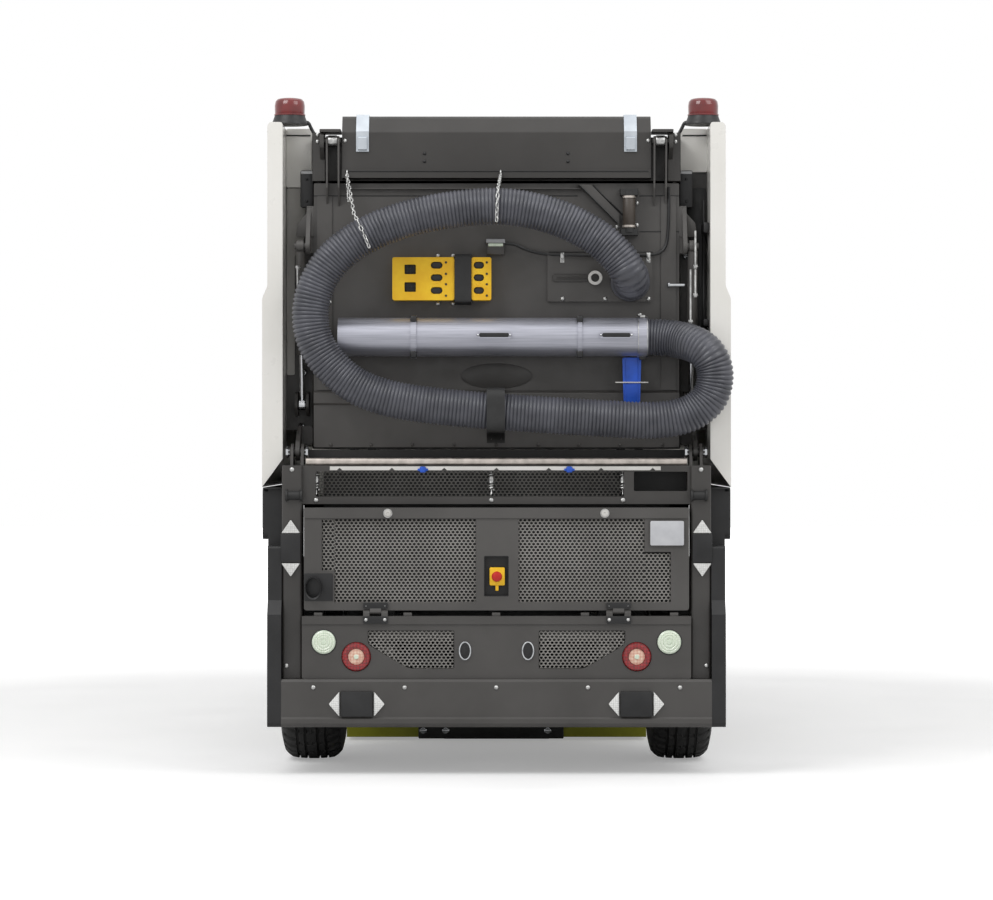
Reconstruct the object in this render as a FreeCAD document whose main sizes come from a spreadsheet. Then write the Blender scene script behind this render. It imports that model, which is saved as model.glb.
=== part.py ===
import FreeCAD, Part
import math
import os
from types import SimpleNamespace

import Sketcher
from FreeCAD import Placement, Rotation, Vector

# Compact street sweeper. Millimetres. X is the vehicle's right, Y forward, Z up.
# The origin is on the ground, midway between the rear hose and the front brushes.

doc = FreeCAD.newDocument("street_sweeper")
sheet = doc.addObject("Spreadsheet::Sheet", "Dims")

driving_dimensions = {
    "tyre_radius": 305,
    "tyre_width": 185,
    "rim_radius": 178,
    "track_half": 549,
    "rear_axle_y": -1500,
    "front_axle_y": 250,
    "kingpin_x": 425,
    "bumper_y": -2085,
    "lamp_panel_y": -2070,
    "body_half": 676,
    "shoulder_half": 661,
    "panel_inner": 617,
    "panel_rear": -1983,
    "panel_front": -330,
    "panel_top": 1876,
    "panel_bottom": 823,
    "hopper_half": 538,
    "hopper_rear": -1865,
    "hopper_front": -300,
    "hopper_floor": 933,
    "hopper_roof": 1842,
    "wall": 24,
    "tip_y": -1985,
    "tip_z": 924,
    "lid_y": -1930,
    "lid_z": 1827,
    "lid_face": -1905,
    "tube_y": -1968,
    "tube_z": 1256,
    "tube_radius": 55.5,
    "hose_y": -2042.5,
    "hose_radius": 53.7,
    "hatch_y": -2060,
    "hatch_z": 466,
    "rail_height": 110,
    "rail_z": 365,
    "rail_rear_x": 325,
    "rail_front_x": 230,
    "cab_half": 640,
    "cab_rear": -240,
    "cab_nose": 1430,
    "cab_roof": 1900,
    "door_hinge_x": 651,
    "door_hinge_y": 1330,
    "skirt_top": 817.5,
    "brush_x": 340,
    "brush_y": 1775,
    "brush_radius": 330,
    "brush_lift": 12,
    "arm_pivot_x": 300,
    "arm_pivot_y": 1180,
    "nozzle_half": 480,
    "beacon_x": 602,
    "beacon_y": -1880,
}


class Dim:
    """A size that carries its formula, so that a sketch stays bound to the sheet."""

    def __init__(self, value, text):
        self.value = float(value)
        self.text = text

    def __add__(self, other):
        return combine(self, "+", other)

    def __radd__(self, other):
        return combine(other, "+", self)

    def __sub__(self, other):
        return combine(self, "-", other)

    def __rsub__(self, other):
        return combine(other, "-", self)

    def __mul__(self, other):
        return combine(self, "*", other)

    def __rmul__(self, other):
        return combine(other, "*", self)

    def __truediv__(self, other):
        return combine(self, "/", other)

    def __neg__(self):
        return combine(0, "-", self)


def combine(left, sign, right):
    a, b = number(left), number(right)
    value = {"+": a + b, "-": a - b, "*": a * b, "/": a / b if b else 0.0}[sign]
    return Dim(value, f"({formula(left)} {sign} {formula(right)})")


def number(size):
    return size.value if isinstance(size, Dim) else float(size)


def formula(size):
    return size.text if isinstance(size, Dim) else f"({float(size):.9g})"


for row, (alias, value) in enumerate(driving_dimensions.items(), 1):
    sheet.set(f"A{row}", alias)
    sheet.set(f"B{row}", str(value))
    sheet.setAlias(f"B{row}", alias)
doc.recompute()
d = SimpleNamespace(**{alias: Dim(value, f"Dims.{alias}")
                       for alias, value in driving_dimensions.items()})

pieces = {}

# feet and eyes of the rams, as (y, z)
tip_foot = (-1250, 470)
tip_eye = (-1585, 870)
door_ram_foot = (-1850, 1062)
door_ram_eye = (-1950, 1520)

hinge_spans = ((-381, -311), (314, 384))
notch_centres = (-450, -300, -150, 0, 150, 300, 448)


def bind(feature, path, size):
    """Set a property of a feature and tie it to the sheet where the size has a formula."""
    if isinstance(size, Dim):
        feature.setExpression(path, size.text)


def place_vertex(sketch, curve, end, point):
    """Fix one end of a curve at (u, v) of its sketch."""
    for kind, axis, size in (("DistanceX", -2, point[0]), ("DistanceY", -1, point[1])):
        if not isinstance(size, Dim) and abs(size) < 1e-9:
            sketch.addConstraint(Sketcher.Constraint("PointOnObject", curve, end, axis))
            continue
        index = sketch.addConstraint(Sketcher.Constraint(kind, -1, 1, curve, end, number(size)))
        bind(sketch, f"Constraints[{index}]", size)


def toward(corner, other, share):
    return tuple(c + (o - c) * share for c, o in zip(corner, other))


def draw_outline(sketch, outline):
    """Draw a closed outline of (u, v) or (u, v, corner radius) points."""
    corners = []
    for i, point in enumerate(outline):
        before, after = outline[i - 1][:2], outline[(i + 1) % len(outline)][:2]
        here = tuple(point[:2])
        if len(point) == 2:
            corners.append((here, here, None))
            continue
        flat = [Vector(*(number(c) for c in p), 0) for p in (before, here, after)]
        into, out = flat[0] - flat[1], flat[2] - flat[1]
        trim = number(point[2]) / math.tan(into.getAngle(out) / 2)
        corners.append((toward(here, before, trim / into.Length),
                        toward(here, after, trim / out.Length), (point[2], flat, trim)))
    loose = None
    first = None
    for i, (start, end, arc) in enumerate(corners):
        if arc:
            radius, flat, trim = arc
            a, c = (Vector(number(p[0]), number(p[1]), 0) for p in (start, end))
            bisector = ((flat[0] - flat[1]).normalize() + (flat[2] - flat[1]).normalize()).normalize()
            centre = flat[1] + bisector * math.hypot(number(radius), trim)
            ends = [math.atan2(p.y - centre.y, p.x - centre.x) for p in (a, c)]
            left_turn = (flat[1] - flat[0]).cross(flat[2] - flat[1]).z > 0
            if not left_turn:
                ends.reverse()
            circle = Part.Circle(centre, Vector(0, 0, 1), number(radius))
            curve = sketch.addGeometry(Part.ArcOfCircle(circle, *ends), False)
            near, far = (1, 2) if left_turn else (2, 1)
            if loose is not None:
                sketch.addConstraint(Sketcher.Constraint("Coincident", loose, 2, curve, near))
            else:
                first = (curve, near)
            place_vertex(sketch, curve, near, start)
            index = sketch.addConstraint(Sketcher.Constraint("Radius", curve, number(radius)))
            bind(sketch, f"Constraints[{index}]", radius)
            tail = (curve, far)
        else:
            tail = None
        goal = corners[(i + 1) % len(corners)][0]
        line = Part.LineSegment(Vector(number(end[0]), number(end[1]), 0),
                                Vector(number(goal[0]), number(goal[1]), 0))
        curve = sketch.addGeometry(line, False)
        if tail:
            sketch.addConstraint(Sketcher.Constraint("Coincident", *tail, curve, 1))
        elif loose is not None:
            sketch.addConstraint(Sketcher.Constraint("Coincident", loose, 2, curve, 1))
        else:
            first = (curve, 1)
        place_vertex(sketch, curve, 1, end)
        loose = curve
    sketch.addConstraint(Sketcher.Constraint("Coincident", loose, 2, *first))


def draw_circle(sketch, circle):
    (u, v), radius = circle
    centre = Vector(number(u), number(v), 0)
    curve = sketch.addGeometry(Part.Circle(centre, Vector(0, 0, 1), number(radius)), False)
    place_vertex(sketch, curve, 3, (u, v))
    index = sketch.addConstraint(Sketcher.Constraint("Radius", curve, number(radius)))
    bind(sketch, f"Constraints[{index}]", radius)


def box(u0, u1, v0, v1, radius=None):
    """Outline of a rectangle, with rounded corners where a radius is given."""
    corners = ((u0, v0), (u1, v0), (u1, v1), (u0, v1))
    return [c if radius is None else (*c, radius) for c in corners]


def mirrored(outline):
    """The same outline on the other side of u = 0."""
    return [(-p[0], *p[1:]) for p in reversed(outline)]


def both(outline):
    return [outline, mirrored(outline)]


def both_sides(inner, outer):
    """The two spans of X, left and right, that lie between two distances from the middle."""
    return ((-outer, -inner), (inner, outer))


def circle(u, v, radius):
    return ((u, v), radius)


def both_circles(u, v, radius):
    return [circle(u, v, radius), circle(-u, v, radius)]


class Piece:
    """One sub-part: a PartDesign body with sketched features."""

    def __init__(self, label):
        self.body = doc.addObject("PartDesign::Body", label)
        self.body.Label = label
        self.planes = {f.Role: f for f in self.body.Origin.OriginFeatures}
        pieces[label] = self

    def sketch(self, plane, offset, outlines, centre=(0, 0)):
        sketch = self.body.newObject("Sketcher::SketchObject", "Outline")
        sketch.AttachmentSupport = (self.planes[plane + "_Plane"], [""])
        sketch.MapMode = "FlatFace"
        shift = (centre[0], centre[1], offset)
        sketch.AttachmentOffset = Placement(Vector(*(number(s) for s in shift)), Rotation())
        for axis, size in zip("xyz", shift):
            bind(sketch, f"AttachmentOffset.Base.{axis}", size)
        for outline in outlines:
            if isinstance(outline, tuple):
                draw_circle(sketch, outline)
            else:
                draw_outline(sketch, outline)
        sketch.Visibility = False
        return sketch

    def feature(self, kind, sketch, **properties):
        feature = self.body.newObject("PartDesign::" + kind, kind)
        feature.Profile = sketch
        feature.Refine = False
        for name, size in properties.items():
            if isinstance(size, Dim):
                setattr(feature, name, size.value)
                bind(feature, name, size)
            else:
                setattr(feature, name, size)
        return feature

    def pad(self, plane, near, far, *outlines):
        """Fill the outlines between two world coordinates along the plane's normal."""
        offset = -far if plane == "XZ" else near
        sketch = self.sketch(plane, offset, outlines)
        return self.feature("Pad", sketch, Length=far - near)

    def pocket(self, plane, near, far, *outlines):
        """Cut the outlines away between two world coordinates."""
        offset = -near if plane == "XZ" else far
        sketch = self.sketch(plane, offset, outlines)
        return self.feature("Pocket", sketch, Length=far - near)

    def turn(self, plane, offset, centre, outlines, kind="Revolution", axis="H_Axis", angle=360):
        """Revolve outlines, drawn from the centre, about a line through it."""
        level = -offset if plane == "XZ" else offset
        sketch = self.sketch(plane, level, outlines, centre)
        return self.feature(kind, sketch, ReferenceAxis=(sketch, [axis]), Angle=angle)

    def ring_of(self, features, count, axis="X_Axis"):
        pattern = self.body.newObject("PartDesign::PolarPattern", "Ring")
        pattern.Refine = False
        pattern.Originals = features
        pattern.Axis = (self.planes[axis], [""])
        pattern.Angle = 360
        pattern.Occurrences = count
        self.body.Tip = pattern
        return pattern

    def row_of(self, features, axis, length, count):
        pattern = self.body.newObject("PartDesign::LinearPattern", "Row")
        pattern.Refine = False
        pattern.Originals = features
        pattern.Direction = (self.planes[axis], [""])
        pattern.Length = number(length)
        bind(pattern, "Length", length)
        pattern.Occurrences = count
        self.body.Tip = pattern
        return pattern

    def place(self, x, y, z, rotation=None):
        self.body.Placement = Placement(Vector(number(x), number(y), number(z)),
                                        rotation or Rotation())
        for axis, size in zip("xyz", (x, y, z)):
            bind(self.body, f"Placement.Base.{axis}", size)


def reach(foot, eye):
    return math.hypot(eye[0] - foot[0], eye[1] - foot[1])


def lean(piece, foot, eye):
    """Stand a ram, drawn upright from the origin, on its foot and lean it to its eye."""
    angle = math.degrees(math.atan2(foot[0] - eye[0], eye[1] - foot[1]))
    piece.place(0, foot[0], foot[1], Rotation(Vector(1, 0, 0), angle))


# Chassis

rail_top = d.rail_z + d.rail_height
frame = Piece("chassis_frame")
rail_plan = [(d.rail_rear_x - 30, -1960), (d.rail_rear_x + 30, -1960),
             (d.rail_rear_x + 30, -520, 60), (d.rail_front_x + 30, -330, 60),
             (d.rail_front_x + 30, 1240), (d.rail_front_x - 30, 1240),
             (d.rail_front_x - 30, -330, 60), (d.rail_rear_x - 30, -520, 60)]
frame.pad("XY", d.rail_z, rail_top, *both(rail_plan))
for cross_y, half in ((-1850, d.rail_rear_x), (-1330, d.rail_rear_x), (-1120, d.rail_rear_x),
                      (-180, d.rail_front_x), (560, d.rail_front_x), (1200, d.rail_front_x)):
    frame.pad("XZ", cross_y - 30, cross_y + 30,
              box(-half, half, d.rail_z + 20, rail_top - 20))
frame.pad("XY", 400, 445, *both(box(290, 600, -1140, -1100)), *both(box(200, 600, -210, -150)),
          *both(box(200, 560, 690, 750)))
frame.pad("XY", rail_top - 5, 479.8, *both_circles(230, 800, 26), *both_circles(230, 1120, 26))
arm_foot = box(d.arm_pivot_x - 100, d.arm_pivot_x + 45, 1130, 1235, 16)
frame.pad("XY", 335, d.rail_z + 30, *both(arm_foot))
frame.pad("XY", 240, 340, *both_circles(d.arm_pivot_x, d.arm_pivot_y, 18))
ram_foot = [(-1320, 380), (-1180, 380), (-1180, 460, 40), (-1215, 515, 30),
            (-1285, 515, 30), (-1320, 460, 40)]
for near, far in both_sides(350, 367):
    frame.pad("YZ", near, far, ram_foot)
frame.pocket("YZ", -367, 367, circle(*tip_foot, 16.06))

rear = Piece("rear_frame")
rear.pad("XY", 276, 885.7, *both(box(556.5, 615, -2050, -1960, 8)))
rear.pad("XZ", -2035, -1965, box(-600, 600, 775, 885.7))
rear.pad("XZ", -2030, -1960.3, box(-600, 600, 385, 440))
rear.pocket("XZ", -2035, -1965, box(-519, 366, 796, 868, 4), box(394, 548, 812, 868, 4))
tip_ear = [(-2030, 880), (-1940, 880), (d.tip_y + 34, d.tip_z, 24), (d.tip_y, d.tip_z + 42, 30),
           (d.tip_y - 34, d.tip_z, 24)]
for near, far in (*both_sides(584, 592), *both_sides(554, 562)):
    rear.pad("YZ", near, far, tip_ear)
for near, far in both_sides(548, 600):
    rear.pad("YZ", near, far, circle(d.tip_y, d.tip_z, 12))

vent = Piece("vent_mesh")
vent.pad("XZ", -1964.7, -1961, box(-522, 369, 793, 871))
vent_slot = vent.pocket("XZ", -1965, -1960, box(-512, -502, 802, 862))
vent.row_of([vent_slot], "X_Axis", 860, 40)

ledge = Piece("rear_ledge")
ledge.pad("YZ", -547, 547, [(-2030, 886, 8), (-1925, 886), (-1925, 907, 4), (-2030, 907, 8)])

notch_bar = Piece("notch_bar")
notches = [(-478, 872)]
for x in notch_centres:
    notches += [(x - 8, 872), (x, 879), (x + 8, 872)]
notches += [(471, 872), (471, 883), (-478, 883)]
notch_bar.pad("XZ", -2039, -2035, notches)

engine = Piece("engine_block")
engine.pad("XY", rail_top - 20, 845, box(-250, 250, -1880, -1300, 30))

radiator = Piece("radiator")
radiator.pad("XZ", -1955, -1895, box(-500, 505, rail_top, 872, 12))
fins = radiator.pocket("XZ", -1955, -1945, box(-470, -456, 500, 730))
radiator.row_of([fins], "X_Axis", 930, 32)

lamp_panel = Piece("lamp_panel")
panel_back = d.lamp_panel_y + 34
lamp_panel.pad("XZ", d.lamp_panel_y, panel_back, box(-556.5, 556.5, 275.3, 455, 6))
lamp_panel.pad("XZ", d.lamp_panel_y - 4, d.lamp_panel_y, box(-556.5, 556.5, 432, 455))
lamp_mesh = [(-368, 414, 4), (-368, 374, 20), (-252, 305, 60), (-121, 305, 4), (-121, 414, 4)]
lamp_panel.pocket("XZ", d.lamp_panel_y - 5, panel_back, *both(lamp_mesh))
lamp_panel.pocket("XZ", d.lamp_panel_y - 5, d.lamp_panel_y + 22, *both_circles(494, 381, 35),
                  *both_circles(401, 339, 42.5), *both_circles(90, 356, 19))
for x0, x1 in hinge_spans:
    lamp_panel.pad("XZ", d.lamp_panel_y - 8, d.lamp_panel_y - 4, box(x0, x1, 434, 455))
    for near, far in ((x0, x0 + 18), (x1 - 18, x1)):
        lamp_panel.pad("YZ", near, far, [(-2077, 450), (-2060, 450), (d.hatch_y + 1, d.hatch_z, 5),
                                         (d.hatch_y - 6, d.hatch_z + 8, 5),
                                         (d.hatch_y - 14, d.hatch_z, 5)])
    lamp_panel.pad("YZ", x0, x1, circle(d.hatch_y - 6, d.hatch_z, 3))

lamp_sheet = Piece("lamp_panel_mesh")
sheet_y = d.lamp_panel_y + 4
lamp_sheet.pad("XZ", sheet_y, sheet_y + 3, *both(lamp_mesh))
for start in (-228, 128):
    slot = lamp_sheet.pocket("XZ", sheet_y, sheet_y + 3, box(start, start + 8, 318, 406))
    lamp_sheet.row_of([slot], "X_Axis", 92, 6)

bumper = Piece("rear_bumper")
bumper.pad("YZ", -615, 615, [(d.bumper_y, 138, 14), (-2010, 138, 10), (-2010, 160, 10),
                             (-2040, 170, 10), (-2040, 275), (d.bumper_y + 4, 275),
                             (d.bumper_y, 268), (d.bumper_y, 168), (d.bumper_y - 6, 162),
                             (d.bumper_y - 6, 150)])
bumper.pad("XY", 170, 210, *both(box(290, 360, -2050, -1985)))
bumper.pad("XY", 200, d.rail_z, *both(box(296, 354, -2029, -1990)))
bumper.pad("XY", d.rail_z - 40, d.rail_z, *both(box(296, 354, -2029, -1900)))

rear_lamps = Piece("rear_lamps")
for x, z, radius in ((494, 381, 34), (401, 339, 41.5)):
    profile = [(0, -22), (radius, -22), (radius, 4, 3), (radius * 0.56, 8), (radius * 0.56, 3),
               (0, 5)]
    for centre_x in (-x, x):
        rear_lamps.turn("XY", z, (centre_x, d.lamp_panel_y), [[(u, -v) for u, v, *_ in profile]],
                        axis="V_Axis")

markers = Piece("marker_lamps")
markers.pad("XZ", d.bumper_y - 10, d.bumper_y, *both([(319, 205), (352, 242), (446, 242),
                                                      (479, 205), (446, 168), (352, 168)]))
markers.pad("XZ", -2062, -2050, *both([(566, 690), (590, 731), (614, 690), (614, 608), (590, 567),
                                       (566, 608)]))

rear_axle = Piece("rear_axle")
axle_half = [(0, 95), (120, 95, 12), (150, 48, 12), (425, 42), (425, 70), (448, 70), (448, 30),
             (452, 20), (610, 20), (610, 0)]
rear_axle.turn("XY", d.tyre_radius, (0, d.rear_axle_y),
               [[(0, 0), *reversed(axle_half)], [(-u, v, *r) for u, v, *r in axle_half] + [(0, 0)]])
spring = [(-1860, 350), (-1500, 340, 400), (-1140, 350), (-1140, d.rail_z), (-1860, d.rail_z)]
for near, far in both_sides(302, 348):
    rear_axle.pad("YZ", near, far, spring)

front_axle = Piece("front_axle")
front_axle.pad("YZ", -372, 372, box(d.front_axle_y - 40, d.front_axle_y + 40, 255, 335, 12))
front_axle.pad("XY", 330, d.rail_z, *both(box(202, 258, 190, 310)))
for low, high in ((338, 362), (226, 250)):
    front_axle.pad("XY", low, high, *both(box(340, 455, 215, 285, 24)))
front_axle.pad("XY", 226, 362, *both(box(340, 378, 215, 285)))
front_axle.pad("XY", 214, 372, *both_circles(d.kingpin_x, d.front_axle_y, 14))

for side, name in ((-1, "left"), (1, "right")):
    knuckle = Piece("knuckle_" + name)
    knuckle.pad("XY", 255, 333, circle(side * d.kingpin_x, d.front_axle_y, 32))
    near, far = sorted((side * 440, side * 500))
    knuckle.pad("YZ", near, far, circle(d.front_axle_y, d.tyre_radius, 28))
    near, far = sorted((side * 490, side * 610))
    knuckle.pad("YZ", near, far, circle(d.front_axle_y, d.tyre_radius, 20))
    near, far = sorted((side * 413, side * 443))
    knuckle.pad("XY", 262, 276, [(near, 100, 8), (far, 100, 8), (far, 230), (near, 230)])
    knuckle.pocket("XY", 250, 340, circle(side * d.kingpin_x, d.front_axle_y, 14.06))

# Wheels

tread_half = d.tyre_width / 2
tyre_half = [(0, d.tyre_radius), (tread_half - 24, d.tyre_radius, 40),
             (tread_half - 9, d.tyre_radius - 16, 10), (tread_half, d.tyre_radius - 58, 40),
             (tread_half - 4, 214, 20), (tread_half - 15.6, 190), (tread_half - 15.6, d.rim_radius + 0.2),
             (tread_half - 24, d.rim_radius + 0.2), (tread_half - 26, 200, 8),
             (tread_half - 15, 222, 12), (tread_half - 12, 250, 30), (tread_half - 22, 284, 20),
             (0, d.tyre_radius - 12)]
rim_dish = [(-77.2, d.rim_radius), (-66, d.rim_radius), (-58, 162, 4), (58, 162, 4),
            (66, d.rim_radius), (77.2, d.rim_radius), (77.2, 189, 2), (83, 189, 2), (83, 172, 4),
            (62, 152, 6), (40, 146, 8), (30, 112, 12), (46, 88, 10), (50, 58, 6), (66, 54, 4),
            (66, 20.06), (40, 20.06), (40, 72, 6), (20, 108, 12), (26, 150, 6), (-62, 152, 4),
            (-83, 172, 4), (-83, 189, 2), (-77.2, 189, 2)]
for name, side, axle_y in (("front_left", -1, d.front_axle_y), ("front_right", 1, d.front_axle_y),
                           ("rear_left", -1, d.rear_axle_y), ("rear_right", 1, d.rear_axle_y)):
    facing = Rotation(Vector(0, 0, 1), 180 if side < 0 else 0)
    tyre = Piece("tyre_" + name)
    other_half = [(-u, v, *r) for u, v, *r in reversed(tyre_half[1:-1])]
    tyre.turn("XY", 0, (0, 0), [tyre_half[1:-1] + [tyre_half[-1]] + other_half])
    tyre.place(side * d.track_half, axle_y, d.tyre_radius, facing)
    rim = Piece("rim_" + name)
    rim.turn("XY", 0, (0, 0), [rim_dish])
    hand_hole = rim.pocket("YZ", 15, 50, circle(0, 126, 11))
    rim.ring_of([hand_hole], 10)
    rim.place(side * d.track_half, axle_y, d.tyre_radius, facing)

skirts = Piece("side_skirts")
skirt_side = [(-1960, 672, 20), (-1850, 672, 60), (-1765, 740, 120), (-1235, 740, 120),
              (-1150, 600, 60), (-1150, 330, 40), (-170, 330, 40), (-170, d.skirt_top, 10),
              (-1960, d.skirt_top, 10)]
for near, far in both_sides(656, 676):
    skirts.pad("YZ", near, far, skirt_side)
wing = [(d.bumper_y, 138, 14), (-1840, 138, 24), (-1840, 300), (-1895, 655, 8),
        (d.bumper_y + 30, 655, 8), (d.bumper_y + 30, 500), (d.bumper_y, 460)]
for near, far in both_sides(615.3, 655):
    skirts.pad("YZ", near, far, wing)
skirts.pad("XZ", -1960, -1940, *both(box(615.3, 660, 600, d.skirt_top)))
skirts.pad("XY", 400, 445, *both(box(600, 660, -1140, -1100)), *both(box(600, 660, -210, -150)))
skirts.pad("XY", 790, d.skirt_top, *both(box(620, 660, -1900, -260)))

# Cab

cab = Piece("cab_shell")
cab_side = [(d.cab_rear, 660), (650, 660, 60), (650, 480, 20), (1250, 480), (1250, 385, 20),
            (d.cab_nose - 20, 385, 60), (d.cab_nose, 860, 120), (1040, d.cab_roof + 20, 120),
            (d.cab_rear, d.cab_roof, 60)]
cab.pad("YZ", -d.cab_half, d.cab_half, cab_side)
cab_room = [(d.cab_rear + 40, 700, 20), (690, 700, 60), (690, 520, 20), (1370, 520, 40),
            (1385, 860, 90), (1010, d.cab_roof - 30, 90), (d.cab_rear + 40, d.cab_roof - 40, 40)]
cab.pocket("YZ", -d.cab_half + 40, d.cab_half - 40, cab_room)
door_side = [(560, 720, 40), (700, 530, 40), (1325, 530, 30), (1325, 840, 60),
             (985, d.cab_roof - 70, 80), (560, d.cab_roof - 70, 40)]
side_window = box(-150, 480, 980, d.cab_roof - 90, 50)
for near, far in both_sides(595, 645):
    cab.pocket("YZ", near, far, door_side)
    cab.pocket("YZ", near, far, side_window)
windscreen = box(-570, 570, 900, 1780, 60)
rear_window = box(-430, 430, 1050, 1780, 50)
cab.pocket("XZ", 1000, 1460, windscreen)
cab.pocket("XZ", d.cab_rear - 5, d.cab_rear + 45, rear_window)
cab.pocket("XZ", 1400, 1440, *both_circles(500, 700, 76), *both(box(420, 580, 560, 610, 12)))
grille_slot = cab.pocket("XZ", 1408, 1440, box(-300, 300, 560, 576, 7))
cab.row_of([grille_slot], "Z_Axis", 150, 6)

for low, high in ((570, 609.5), (800.5, 840)):
    cab.pad("XY", low, high, *both_circles(d.door_hinge_x, d.door_hinge_y, 8))
    cab.pad("XY", low, high, *both(box(639, 649, d.door_hinge_y, 1372)))

glass = Piece("cab_glass")
glass.pad("XZ", 1000, 1460, windscreen)
glass.pocket("YZ", -575, 575, [(995, 890), (1391.7, 890), (1061.3, 1790), (995, 1790)],
             [(1398.7, 890), (1470, 890), (1470, 1790), (1068.3, 1790)])
for near, far in both_sides(622, 628):
    glass.pad("YZ", near, far, side_window)
glass.pad("XZ", d.cab_rear + 12, d.cab_rear + 18, rear_window)

gap_side = [(568, 728, 36), (704, 538, 36), (1317, 538, 24), (1317, 838, 56),
            (980, d.cab_roof - 78, 76), (568, d.cab_roof - 78, 36)]
pane_side = [(620, 960, 30), (1225, 960, 30), (960, d.cab_roof - 130, 60),
             (620, d.cab_roof - 130, 30)]
for side, name in ((-1, "left"), (1, "right")):
    door = Piece("cab_door_" + name)
    near, far = sorted((side * 602, side * 644))
    door.pad("YZ", near, far, gap_side)
    door.pocket("YZ", near, far, pane_side)
    near, far = sorted((side * 644, side * 660))
    door.pad("YZ", near, far, box(600, 760, 880, 905, 10))
    near, far = sorted((side * 620, side * 626))
    for low, high in ((610, 650), (760, 800)):
        door.pad("XY", low, high, circle(side * d.door_hinge_x, d.door_hinge_y, 8))
        leaf_near, leaf_far = sorted((side * 643.5, side * 649))
        door.pad("XY", low, high, box(leaf_near, leaf_far, 1290, d.door_hinge_y))
    pane = Piece("door_glass_" + name)
    pane.pad("YZ", near, far, pane_side)

seats = Piece("seats")
for x in (-300, 300):
    seats.pad("XY", 700.3, 850, box(x - 150, x + 150, 240, 600, 30))
    seats.pad("YZ", x - 230, x + 230, [(150, 850, 20), (690, 850, 40), (690, 960, 40),
                                       (290, 950, 40), (190, 1500, 40), (90, 1500, 40)])
    seats.pad("YZ", x - 130, x + 130, [(90, 1490), (180, 1490), (165, 1680, 30), (80, 1680, 30)])

dashboard = Piece("dashboard")
dashboard.pad("YZ", -594, 594, [(1373.2, 600), (1383.8, 840), (1360, 925, 20), (1180, 960, 40),
                                (1130, 900, 30), (1240, 700, 60), (1300, 600)])
dashboard.pad("XZ", 905, 1190, circle(-300, 905, 20))
dashboard.turn("XZ", 905, (-300, 952), [box(0, 45, -36, 14, 6)], axis="V_Axis")
dashboard.turn("XZ", 905, (-300, 958), [box(162, 186, -12, 12, 10)], axis="V_Axis")
dashboard.pad("XY", 950, 964, box(-480, -120, 893, 917), box(-312, -288, 740, 900))

mirrors = Piece("mirrors")
mirrors.pad("XZ", 1396, 1420, *both([(590, 953), (625, 953), (640, 1010, 60), (760, 1120, 60),
                                     (760, 1180), (736, 1180), (736, 1130, 60), (615, 1020, 60),
                                     (590, 990)]))
mirrors.pad("XY", 1170, 1460, *both(box(680, 850, 1385, 1435, 20)))

headlamps = Piece("headlamps")
headlamps.pad("XZ", 1400, 1434, *both_circles(500, 700, 75.7))
headlamps.pad("XZ", 1400, 1430, *both(box(420.3, 579.7, 560.3, 609.7, 12)))

nozzle = Piece("suction_nozzle")
nozzle.pad("YZ", -d.nozzle_half, d.nozzle_half, [(-850, 10), (-450, 10), (-450, 120, 20),
                                                 (-520, 190, 40), (-780, 190, 40), (-850, 90, 20)])
nozzle.pocket("YZ", -d.nozzle_half + 14, d.nozzle_half - 14,
              [(-838, 5), (-462, 5), (-462, 114, 14), (-526, 178, 30), (-774, 178, 30),
               (-838, 86, 14)])
nozzle.pad("XY", 178, 330, circle(0, -650, 110))
nozzle.pocket("XY", 150, 335, circle(0, -650, 98))

flaps = Piece("nozzle_flaps")
flaps.pad("XZ", -862, -850.3, box(-170, 170, 5, 60, 4))
flaps.pad("XZ", -449.7, -442, box(-470, 470, 6, 60, 4))

duct = Piece("suction_duct")
duct.pad("XY", 330.3, 926, circle(0, -650, 125))
duct.pad("XY", 905, 926, box(-170, 170, -820, -480, 30))
duct.pad("XY", 380, 420, box(-294.7, 294.7, -700, -600))
duct.pocket("XY", 320, 930, circle(0, -650, 98))

for side, name in ((-1, "left"), (1, "right")):
    arm = Piece("brush_arm_" + name)
    pivot_x, hub_x = side * d.arm_pivot_x, side * d.brush_x
    arm.pad("XY", 262, 327, circle(pivot_x, d.arm_pivot_y, 42))
    arm.pad("XY", 270, 318, [(pivot_x - 28, d.arm_pivot_y), (pivot_x + 28, d.arm_pivot_y),
                             (hub_x + 24, d.brush_y), (hub_x - 24, d.brush_y)])
    arm.pad("XY", 236, 330, circle(hub_x, d.brush_y, 62))
    arm.pad("XY", 330, 400, circle(hub_x, d.brush_y, 46))
    arm.pad("XY", 228, 238, circle(hub_x, d.brush_y, 90))
    arm.pad("XY", 170, 230, circle(hub_x, d.brush_y, 16))
    arm.pocket("XY", 255, 335, circle(pivot_x, d.arm_pivot_y, 18.06))
    brush = Piece("brush_" + name)
    brush.turn("XZ", 0, (0, 0), [[(16.06, 172), (16.06, 215), (62, 215, 6), (70, 196, 6),
                                  (186, 192, 4), (196, 158, 10), (d.brush_radius, d.brush_lift),
                                  (d.brush_radius - 110, d.brush_lift), (120, 160, 10),
                                  (120, 172)]], axis="V_Axis")
    tuft_gap = brush.pad("XY", 214, 222, circle(40, 0, 6))
    brush.ring_of([tuft_gap], 6, "Z_Axis")
    brush.place(side * d.brush_x, d.brush_y, 0)

# Hopper

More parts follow.
